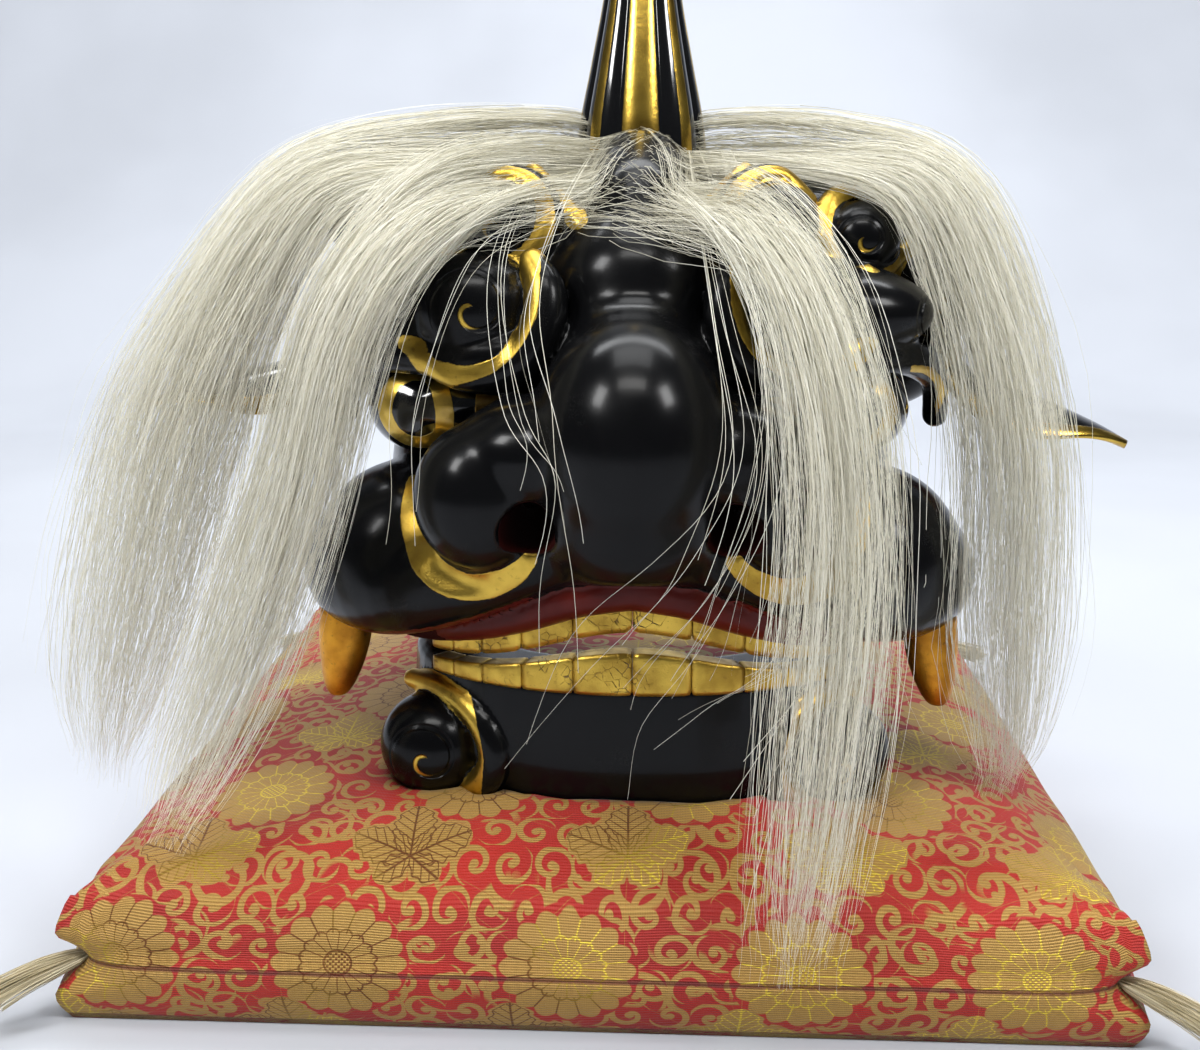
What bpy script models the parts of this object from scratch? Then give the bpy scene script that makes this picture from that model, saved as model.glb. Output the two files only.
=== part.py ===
# Lion dance head, black lacquered wood with a working jaw, on its brocade display cushion.
# Metres, +Z up, the face looks along -Y. The origin is the middle of the cushion's underside.
import math

import bmesh
import bpy
import numpy as np
from mathutils import Matrix, Vector

# Head: cheek to cheek, nose to back, chin to crown
HEAD_W = 0.242
HEAD_D = 0.242
HEAD_H = 0.242
HEAD_X = 0.012
CHIN_Z = 0.060
BACK_Y = 0.3058 * HEAD_D
REAR_EDGE_Z = CHIN_Z + 0.153 * HEAD_H
GAP = 0.0003
FACE_VOXEL = 0.0030
BLANK_TRIANGLES = 7000
SKULL_TRIANGLES = 1400
FINE_VOXEL = 0.0015
GROOVE_TRIANGLES = 400
INNER_LIP_TRIANGLES = 420
EYE_TRIANGLES = 190

# Head hollow and mouth
SIDE_WALL = 0.035
HOLLOW_W = HEAD_W - 2 * SIDE_WALL
CROWN_WALL = 0.021
HOLLOW_FRONT = 0.413 * HEAD_D
HOLLOW_TOP_Z = CHIN_Z + HEAD_H - CROWN_WALL
HOLLOW_SPRING_Z = CHIN_Z + 0.562 * HEAD_H
LIP_ARCH_H = 0.149 * HEAD_H
LIP_ARCH_W = 0.256 * HEAD_W
LIP_CORNER_Z = CHIN_Z + 0.256 * HEAD_H
NOSTRIL_R = 0.0095

# Jaw
JAW_TRIANGLES = 640
JAW_H = 0.2314 * HEAD_H
JAW_FLOOR = 0.014
JAW_FLOOR_END_Y = 0.0165 * HEAD_D
ARM_CLEARANCE = 0.00525
ARM_SHARE = 0.85
JAW_W = (HOLLOW_W - 2 * ARM_CLEARANCE) / ARM_SHARE
JAW_ARM_Y = BACK_Y - 0.010
JAW_ARM_RISE = 0.14 * HEAD_H
PIN_R = 0.003
PIN_L = 0.034
PIN_INSET = 0.002
PIN_X = HOLLOW_W / 2 - PIN_INSET
HINGE_Y = BACK_Y - 0.024
HINGE_Z = CHIN_Z + 0.1777 * HEAD_H

# Teeth and fangs
TOOTH_DEPTH = 0.009
TOOTH_ARCH_FRONT = 0.607 * HEAD_D
TOOTH_ARCH_W = 0.77 * HEAD_W
TOOTH_ARCH_DEPTH = 0.248 * HEAD_D
UPPER_BITE_Z = CHIN_Z + 0.3116 * HEAD_H
LOWER_BITE_Z = CHIN_Z + 0.2785 * HEAD_H
UPPER_BITE_ARCH = 0.066 * HEAD_H
LOWER_BITE_ARCH = 0.0455 * HEAD_H
BITE_ARCH_W = 0.186 * HEAD_W
TOOTH_ROOT = 0.005
FANG_H = 0.149 * HEAD_H
FANG_R = 0.0105

# Eyes, ears and horn
EYE_W = 0.042
EYE_H = 0.037
EAR_L = 0.096
EAR_W = 0.046
EAR_T = 0.012
EAR_CURL = 0.026
HORN_H = 0.138
HORN_R = 0.0265
HORN_FLUTES = 8
HORN_BASE_Z = CHIN_Z + 0.967 * HEAD_H
HORN_Y = -0.165 * HEAD_D

# Mane
MANE_VOXEL = 0.0042
MANE_TRIANGLES = 800
MANE_SKIN = 0.0018
MANE_SKIN_TRIANGLES = 2000

# Cushion and its corner tassels
CUSHION_W = 0.392
CUSHION_D = 0.392
CUSHION_EDGE_H = 0.046
CUSHION_CROWN_H = 0.078
CUSHION_BULGE = 0.009
CUSHION_DENT = 0.0009
SKIN_VOXEL = 0.0016
DENT_TRIANGLES = 1100
CUSHION_CELLS = 10
CORNER_FOLD = 0.011
SEAM_DEPTH = 0.0016
TASSEL_L = 0.048
TASSEL_R = 0.0065
TASSEL_SEAT = 0.008
TASSEL_DROOP = 0.010
TASSEL_VOXEL = 0.0012
TASSEL_TRIANGLES = 130

# Carved forms of one half of the head, in hundredths of its width, depth and height from the
# chin: name, centre, radii, turn about the upright in degrees. Those off the middle are mirrored.
BASE_FORMS = (
    ("cranium", (0, 8.3, 60.3), (43, 57.9, 40.9), 0),
    ("side_wall", (34.7, -5, 43.8), (9.9, 34.7, 27.3), 0),
    ("hinge_side", (37.6, 14, 26.4), (5.8, 16.5, 14), 0),
    ("upper_face", (0, -24.8, 78.5), (38, 25.6, 19.8), 0),
    ("pad", (36.4, -39.7, 38.5), (15.9, 17.4, 14.9), -10),
    ("pad_outer", (45.0, -33.5, 35.1), (10.5, 16.1, 10.3), 0),
    ("nose_lower", (0, -56.2, 50.4), (16.5, 18.2, 14.5), 0),
    ("nose_bulb", (0, -60.3, 60.3), (15.3, 18.2, 18.2), 0),
    ("nose_root", (0, -45.5, 71.1), (12.4, 17.4, 12.4), 0),
)
FACE_FORMS = (
    ("brow", (24.8, -41.3, 77.7), (20.7, 12.4, 8.3), -12),
    ("forehead", (0, -43.8, 81), (13.6, 12, 11.6), 0),
    ("swirl_1", (24.4, -48.8, 78.5), (9.9, 9.1, 8.7), 0),
    ("swirl_2", (21.1, -42.6, 90.5), (6.6, 7, 6.4), 0),
    ("swirl_3", (34.7, -36.4, 88.4), (6.2, 6.6, 6), 0),
    ("temple", (45.9, -27.3, 77.3), (8.3, 9.1, 8.5), 0),
    ("knob", (44.6, -9.1, 93.4), (12.8, 14, 10.3), 0),
    ("knob_neck", (34, -2, 88.5), (13, 19, 11), 0),
    ("horn_seat", (0, -14.9, 97.5), (12.8, 14, 7.4), 0),
    ("ear_seat", (43.8, -15.7, 66.9), (8.3, 9.1, 7.4), 0),
)
SOCKET_FORMS = (
    ("socket", (34.7, -55.5, 62.5), (20.7, 14.9, 7.6), -8),
)
WING_FORMS = (
    ("wing", (22.3, -61.6, 52.1), (9.9, 9.7, 11.2), 0),
    ("wing_neck", (14, -60.3, 58.7), (12.4, 10.7, 8.3), 0),
)
JAW_FORMS = (
    ("jaw_swirl", (32.2, -50.0, 8.9), (8.7, 8.3, 8.5), 0),
)
# Carved ridges of one half: name, then points with their radii, in the same hundredths
LIP_RIDGES = (
    ("lip", (((0, -60.3, 47.9), 7), ((13.2, -59.1, 43.8), 7), ((25.6, -56.2, 38.8), 7.4),
             ((37.2, -50.4, 34.7), 7.4), ((46.3, -40.5, 33.5), 6.6), ((48.8, -27.3, 34.3), 5.4),
             ((44.6, -12.4, 35.5), 3.7))),
)
FACE_RIDGES = (
    ("brow_edge", (((11.6, -52.9, 73.6), 3.3), ((19.8, -55, 71.9), 3.3), ((30.6, -52.1, 71.5), 2.9),
                   ((40.5, -44.6, 71.1), 2.9), ((46.3, -36.4, 69), 2.5))),
    ("lid", (((48.8, -30.6, 59.9), 2.1), ((47.1, -36.4, 66.5), 2.1), ((41.7, -42.6, 70.7), 2.1))),
    ("mid_ridge", (((0, -41.3, 90.9), 6.2), ((0, -30.6, 97.5), 5.8))),
    ("crescent_1", (((34.7, -46.3, 83.9), 1.2), ((35.5, -48.8, 77.3), 1.9), ((31, -52.5, 71.5), 2.3),
                    ((24, -55, 69), 2.7), ((16.9, -56.2, 71.1), 3.1), ((13.6, -55.8, 76), 3.3),
                    ((13.2, -54.1, 81.4), 3.1), ((15.3, -51.7, 85.5), 2.1))),
    ("crescent_2", (((26.4, -38.8, 94.2), 1.2), ((21.5, -39.3, 97.9), 1.7), ((16.1, -40.9, 96.7), 2.1),
                    ((13.6, -43.8, 91.7), 2.5), ((15.7, -45.9, 86.8), 2.5), ((20.7, -46.3, 84.3), 2.1),
                    ((25.6, -44.6, 85.1), 1.2))),
    ("crescent_3", (((40.1, -31.4, 92.6), 1.2), ((34.7, -32.2, 95.9), 1.7), ((30.2, -35.5, 94.2), 1.9),
                    ((28.5, -38.8, 89.3), 2.1), ((31.4, -40.5, 83.9), 2.1), ((37.2, -38.8, 83.1), 1.7),
                    ((41.3, -34.7, 86), 1.2))),
    ("ridge_line", (((16.5, -36.4, 98.8), 1.7), ((11.2, -41.3, 93.4), 2.1), ((5.8, -46.3, 88.8), 1.7))),
    ("temple_rim", (((50.4, -21.5, 87.2), 1.2), ((44.6, -26.4, 87.2), 1.9), ((39.7, -32.2, 83.1), 2.1),
                    ((38.4, -34.7, 77.3), 2.3), ((40.9, -34.3, 71.1), 2.3), ((46.7, -29.8, 67.8), 2.1),
                    ((52.5, -24, 69.4), 1.7))),
    ("knob_rim", (((36.4, -24, 97.5), 2.1), ((44.6, -24, 98.8), 2.5), ((51.7, -19, 96.7), 2.5),
                  ((56.2, -11.6, 92.6), 1.7))),
)
INNER_LIP = (
    ("inner_lip", (((0, -61.6, 38.6), 3.5), ((8.3, -60.9, 37.0), 3.3), ((16.5, -58.0, 33.3), 2.9),
                   ((24.8, -54.1, 30.0), 2.4), ((33.1, -48.4, 27.9), 2.1), ((39.3, -41.0, 26.7), 1.75),
                   ((43, -32.5, 26.4), 1.4))),
)
JAW_RIDGES = (
    ("jaw_crescent", (((36.4, -44.6, 17.8), 1.7), ((29.8, -50.4, 17.8), 2.1), ((24, -55, 14.9), 2.5),
                      ((21.5, -56.6, 9.5), 2.7), ((23.6, -55.4, 4.5), 2.5), ((28.9, -51.2, 1.7), 1.7))),
)
# Groove that curls round under each nostril wing, cut into the lip
GROOVES = (
    ("wing_groove", (((34.5, -60.5, 57.0), 1.6), ((34.8, -61.5, 50.5), 2.2), ((32.2, -63.2, 44.2), 2.7),
                     ((26.8, -65.5, 40.0), 3.0), ((20.5, -67.5, 38.8), 2.8), ((15.5, -69.0, 40.2), 1.9))),
)
# Path of each nostril's bore, in the same hundredths
NOSTRIL_PATH = ((15.7, -86, 46), (14.5, -62, 49.6), (12.4, -41.3, 53.7), (11.6, -28, 56))

# Jaw plan from the middle of the chin to the end of an arm: across in shares of half JAW_W,
# forward in hundredths of the head's depth, for the outside and the inside
JAW_PLAN = (
    # outer across, outer y, inner across, inner y
    (0.00, -60.3, 0.00, -48.0),
    (0.31, -59.5, 0.27, -47.1),
    (0.60, -55.8, 0.50, -43.0),
    (0.83, -47.9, 0.65, -36.4),
    (0.95, -37.2, 0.71, -26.4),
    (0.945, -26.5, 0.71, -14.5),
    (0.865, -13.5, 0.69, -4.0),
    (0.85, -3.0, 0.68, 6.0),
)
# Jaw walls: height in shares of JAW_H, outline in shares of the plan
JAW_RISE = ((0.0, 0.86), (0.07, 0.93), (0.36, 0.985), (0.72, 1.0), (0.93, 0.985), (1.0, 0.955))

# Teeth of one side from the middle outward, in hundredths of the head's width
TOOTH_WIDTHS = (9.1, 8.3, 7.0, 5.8, 5.0)
# Section of a tooth strip: depth share, height share
TOOTH_SECTION = ((0.0, 0.12), (0.12, 0.0), (0.85, 0.0), (1.0, 0.15), (1.0, 1.0), (0.0, 1.0))
# Stations on each tooth: share of its width, share of its depth
TOOTH_STATIONS = ((0.0, 0.80), (0.16, 1.0), (0.84, 1.0))
# Fang sections from root to tip: height share, across and fore radii in shares of FANG_R, lean
FANG_SECTIONS = ((0.0, 0.95, 1.0, 0.0), (0.3, 1.0, 1.05, 0.05), (0.6, 0.86, 0.95, 0.16),
                 (0.86, 0.62, 0.72, 0.30), (1.0, 0.34, 0.42, 0.36))
# Places in hundredths of the head size: eyeball, its inner corner, fang root and ear root
EYE_PLACE = (33.9, -41.3, 62.8)
EYE_CORNER_PLACE = (24.0, -46.3, 63.6)
FANG_ROOT = (47.9, -41.3, 29.0)
EAR_ROOT = (45.5, -17.5, 68.0)
# Where each ear points: its tip in the same hundredths, right ear then left
EAR_TIPS = {1: (82.5, -24.8, 54.0), -1: (82.5, -24.8, 60.5)}
# Ear sections from root to tip: length share, half-width share, thickness share, hollow share
EAR_SECTIONS = ((0.0, 0.42, 0.95, 0.0), (0.14, 0.62, 1.0, 0.1), (0.3, 0.9, 1.0, 0.42), (0.5, 1.0, 0.95, 0.5),
                (0.7, 0.84, 0.8, 0.42), (0.87, 0.5, 0.62, 0.2), (1.0, 0.1, 0.3, 0.0))
# Horn sections from base to tip: height share, radius share, lean back share
HORN_SECTIONS = ((0.0, 1.0, 0.0), (0.15, 0.97, 0.0), (0.34, 0.78, 0.01), (0.5, 0.62, 0.03),
                 (0.68, 0.47, 0.06), (0.84, 0.33, 0.10), (0.95, 0.19, 0.135), (1.0, 0.06, 0.15))

# Mane locks, root to tip, in hundredths of the head size: centre, half width, half thickness
MANE_LOCKS = {
    "mane_left": (
        (((-4, -24.5, 104.6), 3.2, 3.2), ((-14, -25, 106.6), 4.8, 4.0), ((-33.5, -31, 104.0), 6.6, 4.2),
         ((-51.2, -38, 97.5), 8.2, 4.4), ((-64, -42.1, 79), 10.5, 4.6), ((-73, -44.6, 58.7), 13.6, 4.6),
         ((-80.5, -46.3, 34.3), 13.2, 4.0), ((-86.6, -46.8, 13), 10.0, 2.9), ((-88.5, -46.8, 3.0), 6.0, 1.8)),
        (((-3, -30, 102.6), 3.2, 3.2), ((-14, -38, 102.6), 4.8, 3.8), ((-24.5, -50.5, 98.5), 5.8, 4.2),
         ((-33, -60.5, 89.0), 6.6, 4.2), ((-39.5, -66.0, 76.4), 7.2, 4.2), ((-45.5, -68.2, 55.4), 8.0, 4.0),
         ((-54, -69.5, 32.6), 8.2, 3.5), ((-62.5, -71.5, 14), 6.4, 2.4), ((-66, -76, 6.0), 4.2, 1.6)),
    ),
    "mane_right": (
        (((4, -24.5, 104.6), 3.2, 3.2), ((13, -25, 106.4), 4.8, 4.0), ((30.2, -29.8, 104.4), 6.0, 4.2),
         ((45.0, -37.2, 97.6), 7.6, 4.4), ((53.3, -41.3, 79.3), 8.6, 4.6), ((58.0, -44.6, 56.6), 9.4, 4.4),
         ((59.0, -46.8, 29.8), 9.8, 3.8), ((60, -47.6, 10), 6.4, 2.6), ((59, -47.6, 3.0), 4.2, 1.6)),
        (((3, -30, 102.6), 3.2, 3.2), ((8, -44, 100.6), 5.0, 3.8), ((14.5, -57.0, 95.9), 6.4, 4.2),
         ((22, -67.5, 83.4), 8.2, 4.2), ((26.4, -73.5, 66.5), 9.6, 4.2), ((27.6, -77.5, 47.1), 10.2, 4.0),
         ((26.4, -82.2, 26), 10.4, 3.4), ((24, -86.8, 4), 8.6, 2.6), ((23, -88, -7.0), 6.2, 1.7)),
    ),
}
# Strips that make one lock: place across in shares of the half width, width share, length share
LOCK_STRIPS = ((-0.72, 0.36, 0.90), (-0.25, 0.42, 1.0), (0.22, 0.40, 0.94), (0.68, 0.38, 0.84))
# Locks of a tassel: place across, spread, length share. Sections: length share, radius share
TASSEL_LOCKS = ((-0.5, 1.0, 0.94), (0.0, 1.2, 1.0), (0.5, 1.0, 0.9))
TASSEL_SECTIONS = ((0.0, 0.34), (0.22, 0.36), (0.32, 0.6), (0.6, 0.8), (1.0, 0.62))
STRIP_STATIONS = 15
STRIP_SIDES = 8

# Colours: red, green, blue, roughness, metallic
COLOURS = {
    "black_lacquer": (0.008, 0.008, 0.010, 0.12, 0.0),
    "gold_leaf": (0.80, 0.56, 0.16, 0.30, 1.0),
    "horsehair": (0.78, 0.72, 0.55, 0.55, 0.0),
    "brocade": (0.62, 0.14, 0.05, 0.60, 0.0),
    "cream_thread": (0.80, 0.73, 0.55, 0.70, 0.0),
    "oak_pin": (0.30, 0.17, 0.07, 0.60, 0.0),
}


def place(share):
    """World point of a place given in hundredths of the head's width, depth and height."""
    x, y, z = (part / 100 for part in share)
    return Vector((HEAD_X + x * HEAD_W, y * HEAD_D, CHIN_Z + z * HEAD_H))


def mirrored(point):
    """The same point on the head's other side."""
    return Vector((2 * HEAD_X - point.x, point.y, point.z))


def spline(rows, count):
    """Smooth rows of numbers through the given rows, count of them, evenly spread."""
    values = np.array(rows, dtype=float)
    last = len(values) - 1
    result = []
    for at in np.linspace(0, last, count):
        i = min(int(at), last - 1)
        t = at - i
        before, after = values[max(i - 1, 0)], values[min(i + 2, last)]
        a, b = values[i], values[i + 1]
        slope_a, slope_b = (b - before) / 2, (after - a) / 2
        h = (2 * t**3 - 3 * t**2 + 1, t**3 - 2 * t**2 + t, -2 * t**3 + 3 * t**2, t**3 - t**2)
        result.append(h[0] * a + h[1] * slope_a + h[2] * b + h[3] * slope_b)
    return np.array(result)


def material(name):
    """A Principled material for one sub-part, made from its row of the colour table."""
    red, green, blue, rough, metal = COLOURS[name.split(".")[0]]
    made = bpy.data.materials.new(name)
    made.use_nodes = True
    shader = made.node_tree.nodes["Principled BSDF"]
    shader.inputs["Base Color"].default_value = (red, green, blue, 1)
    shader.inputs["Roughness"].default_value = rough
    shader.inputs["Metallic"].default_value = metal
    return made


def to_object(name, bm, smooth=True):
    """Turns the working mesh into a scene object with its faces pointing out."""
    bmesh.ops.recalc_face_normals(bm, faces=bm.faces)
    mesh = bpy.data.meshes.new(name)
    bm.to_mesh(mesh)
    bm.free()
    if smooth:
        mesh.shade_smooth()
    made = bpy.data.objects.new(name, mesh)
    bpy.context.scene.collection.objects.link(made)
    return made


def bake(thing):
    """Replaces the object's mesh by the result of its modifiers."""
    bpy.context.view_layer.update()
    graph = bpy.context.evaluated_depsgraph_get()
    mesh = bpy.data.meshes.new_from_object(thing.evaluated_get(graph))
    thing.modifiers.clear()
    old = thing.data
    thing.data = mesh
    bpy.data.meshes.remove(old)
    return thing


def triangulated(thing):
    """Splits every face into triangles, so that each one is flat."""
    bm = bmesh.new()
    bm.from_mesh(thing.data)
    bmesh.ops.triangulate(bm, faces=bm.faces)
    bm.to_mesh(thing.data)
    bm.free()


def boolean(thing, cutter, operation="DIFFERENCE"):
    """Cuts or joins with an exact Boolean and clears the other solid away."""
    triangulated(thing)
    triangulated(cutter)
    step = thing.modifiers.new("boolean", "BOOLEAN")
    step.object = cutter
    step.operation = operation
    step.solver = "EXACT"
    bake(thing)
    bpy.data.objects.remove(cutter)
    return thing


def grown(thing, distance):
    """A copy whose surface lies the given distance outside, used to cut a seat with clearance."""
    bm = bmesh.new()
    bm.from_mesh(thing.data)
    bm.transform(thing.matrix_world)
    bm.normal_update()
    moves = [(v, v.normal * distance * min(v.calc_shell_factor(), 2.0)) for v in bm.verts]
    for vertex, move in moves:
        vertex.co += move
    return to_object(thing.name + "_seat", bm)


def fused(name, bm, voxel, rounds):
    """Fuses overlapping solids into one skin and softens the joins."""
    made = to_object(name, bm)
    remesh = made.modifiers.new("remesh", "REMESH")
    remesh.mode = "VOXEL"
    remesh.voxel_size = voxel
    if rounds:
        soften = made.modifiers.new("soften", "SMOOTH")
        soften.factor = 0.5
        soften.iterations = rounds
    return bake(made)


def reduced(thing, triangles):
    """Collapses the mesh to about the given count of triangles and tidies it."""
    now = sum(len(face.vertices) - 2 for face in thing.data.polygons)
    step = thing.modifiers.new("reduce", "DECIMATE")
    step.ratio = min(1.0, triangles / now)
    step.use_collapse_triangulate = True
    return bake(thing)


def largest_piece(thing):
    """Keeps the biggest connected piece, without the crumbs that a cut leaves."""
    bm = bmesh.new()
    bm.from_mesh(thing.data)
    left, groups = set(bm.verts), []
    while left:
        group, edge = set(), [left.pop()]
        while edge:
            vertex = edge.pop()
            group.add(vertex)
            near = {e.other_vert(vertex) for e in vertex.link_edges} & left
            left -= near
            edge += near
        groups.append(group)
    groups.sort(key=len)
    bmesh.ops.delete(bm, geom=[v for group in groups[:-1] for v in group], context="VERTS")
    bm.to_mesh(thing.data)
    bm.free()
    return thing


def offset_skin(thing, distance, voxel, triangles):
    """A clean solid whose skin lies the given distance outside a carved piece."""
    bm = bmesh.new()
    bm.from_mesh(thing.data)
    shell = fused(thing.name + "_skin", bm, voxel, 0)
    moved = grown(shell, distance)
    bpy.data.objects.remove(shell)
    bm = bmesh.new()
    bm.from_mesh(moved.data)
    bpy.data.objects.remove(moved)
    return reduced(fused(thing.name + "_skin", bm, voxel, 0), triangles)


def add_ball(bm, centre, radii, turn=0.0, segments=28):
    """A stretched sphere, turned about the upright."""
    spin = Matrix.Rotation(math.radians(turn), 4, "Z")
    frame = Matrix.Translation(centre) @ spin @ Matrix.Diagonal((*radii, 1))
    bmesh.ops.create_uvsphere(bm, u_segments=segments, v_segments=segments // 2, radius=1, matrix=frame)


def add_rings(bm, rings):
    """A closed solid lofted through rings of points, with a flat face at each end."""
    loops = [[bm.verts.new(point) for point in ring] for ring in rings]
    for low, high in zip(loops[:-1], loops[1:]):
        for i in range(len(low)):
            j = (i + 1) % len(low)
            bm.faces.new((low[i], low[j], high[j], high[i]))
    bm.faces.new(list(reversed(loops[0])))
    bm.faces.new(loops[-1])


def add_ridge(bm, points, radii, sides=12):
    """A round bar through the points with a ball at each end."""
    rows = spline([(*p, r) for p, r in zip(points, radii)], 4 * len(points))
    centres = [Vector(row[:3]) for row in rows]
    rings = []
    for i, centre in enumerate(centres):
        along = (centres[min(i + 1, len(rows) - 1)] - centres[max(i - 1, 0)]).normalized()
        side = along.orthogonal().normalized() if i == 0 else (side - along * side.dot(along)).normalized()
        up = along.cross(side)
        angles = [2 * math.pi * k / sides for k in range(sides)]
        rings.append([centre + (side * math.cos(a) + up * math.sin(a)) * rows[i][3] for a in angles])
    add_rings(bm, rings)
    for i in (0, -1):
        add_ball(bm, centres[i], (rows[i][3],) * 3, segments=sides)


def add_forms(bm, forms):
    """The table's stretched spheres, with those off the middle on both sides."""
    for _, centre, radii, turn in forms:
        size = (radii[0] * HEAD_W / 100, radii[1] * HEAD_D / 100, radii[2] * HEAD_H / 100)
        middle = place(centre)
        add_ball(bm, middle, size, turn)
        if centre[0]:
            add_ball(bm, mirrored(middle), size, -turn)


def add_ridges(bm, ridges):
    """The table's ridges on both sides. Radii are hundredths of the head's width."""
    for _, rows in ridges:
        points = [place(row[0]) for row in rows]
        radii = [row[1] * HEAD_W / 100 for row in rows]
        add_ridge(bm, points, radii)
        if any(row[0][0] for row in rows):
            add_ridge(bm, [mirrored(p) for p in points], radii)


def lip_height(across):
    """Height of the upper lip's lower edge at a distance from the middle."""
    return LIP_CORNER_Z + LIP_ARCH_H * math.exp(-((across / LIP_ARCH_W) ** 2))


def arch_cutter():
    """Everything below the upper lip's arch, in front of the cheeks' rear edge."""
    half = 0.62 * HEAD_W
    xs = np.linspace(-half, half, 29)
    outline = [(x, lip_height(x)) for x in xs] + [(half, CHIN_Z), (-half, CHIN_Z)]
    bm = bmesh.new()
    front, rear = -0.95 * HEAD_D, -0.10 * HEAD_D
    add_rings(bm, [[Vector((HEAD_X + x, y, z)) for x, z in outline] for y in (front, rear)])
    return to_object("lip_arch", bm, smooth=False)


def slab_cutter(low, high):
    """A box cutter between two corners."""
    bm = bmesh.new()
    size = Vector(high) - Vector(low)
    frame = Matrix.Translation((Vector(low) + Vector(high)) / 2) @ Matrix.Diagonal((*size, 1))
    bmesh.ops.create_cube(bm, size=1, matrix=frame)
    return to_object("slab", bm, smooth=False)


def hollow_cutter():
    """The head's hollow: a vault with an open back, straight below and domed above."""
    reach = BACK_Y + 0.05
    middle_y = -0.033 * HEAD_D
    rise = HOLLOW_TOP_Z - HOLLOW_SPRING_Z
    levels = [(REAR_EDGE_Z - 0.03, 1.0), (HOLLOW_SPRING_Z, 1.0)]
    for angle in (24, 46, 66, 84):
        t = math.radians(angle)
        levels.append((HOLLOW_SPRING_Z + rise * math.sin(t), math.cos(t)))
    angles = [math.radians(a) for a in range(0, 181, 20)]
    bm = bmesh.new()
    rings = []
    for z, share in levels:
        half, front = HOLLOW_W / 2 * share, HOLLOW_FRONT * share
        ring = [Vector((HEAD_X + half * math.cos(a), middle_y - front * math.sin(a), z)) for a in angles]
        ring += [Vector((HEAD_X - half, reach, z)), Vector((HEAD_X + half, reach, z))]
        rings.append(ring)
    add_rings(bm, rings)
    return to_object("hollow", bm, smooth=False)


def nostril_cutter(points):
    """A round bore along a nostril's path."""
    rows = spline([tuple(p) for p in points], 7)
    centres = [Vector(row) for row in rows]
    rings = []
    for i, centre in enumerate(centres):
        along = (centres[min(i + 1, 6)] - centres[max(i - 1, 0)]).normalized()
        side = along.cross(Vector((0, 0, 1))).normalized()
        up = side.cross(along)
        angles = [2 * math.pi * k / 12 for k in range(12)]
        rings.append([centre + (side * math.cos(a) + up * math.sin(a)) * NOSTRIL_R for a in angles])
    bm = bmesh.new()
    add_rings(bm, rings)
    return to_object("nostril", bm)


def forms_cutter(forms):
    """The table's forms as one cutter."""
    bm = bmesh.new()
    add_forms(bm, forms)
    return to_object("forms", bm)


def ridge_solid(ridges, triangles):
    """The table's ridges as one solid, to cut with or to join on."""
    bm = bmesh.new()
    add_ridges(bm, ridges)
    return reduced(fused("ridges", bm, FINE_VOXEL, 2), triangles)


def make_skull():
    """The carved head: forms fused into one blank, then the lip arch, sockets and hollow cut."""
    bm = bmesh.new()
    for forms in (BASE_FORMS, FACE_FORMS, WING_FORMS):
        add_forms(bm, forms)
    for ridges in (LIP_RIDGES, FACE_RIDGES):
        add_ridges(bm, ridges)
    skull = reduced(fused("skull", bm, FACE_VOXEL, 2), BLANK_TRIANGLES)
    far = HEAD_W
    boolean(skull, arch_cutter())
    boolean(skull, slab_cutter((-far, -far, -far), (far, far, REAR_EDGE_Z)))
    boolean(skull, slab_cutter((-far, BACK_Y, 0), (far, far, 2 * far)))
    boolean(skull, forms_cutter(SOCKET_FORMS))
    boolean(skull, ridge_solid(GROOVES, GROOVE_TRIANGLES))
    boolean(skull, ridge_solid(INNER_LIP, INNER_LIP_TRIANGLES), "UNION")
    reduced(skull, SKULL_TRIANGLES)
    boolean(skull, hollow_cutter())
    for side in (1, -1):
        path = [place((side * x, y, z)) for x, y, z in NOSTRIL_PATH]
        boolean(skull, nostril_cutter(path))
    return skull


def jaw_outline(index, share):
    """Half of the jaw's plan as world X and Y offsets: index 0 outside, 2 inside."""
    rows = spline([(row[index], row[index + 1]) for row in JAW_PLAN], 13)
    middle = -0.12 * HEAD_D
    half = []
    for across, forward in rows:
        y = forward * HEAD_D / 100
        y = middle + (y - middle) * share if y < middle else y
        half.append((across * JAW_W / 2 * share, y))
    half.append((half[-1][0] * 0.98, JAW_ARM_Y if index == 0 else JAW_ARM_Y + 0.03))
    return [(x, y) for x, y in reversed(half)] + [(-x, y) for x, y in half[1:]]


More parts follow.
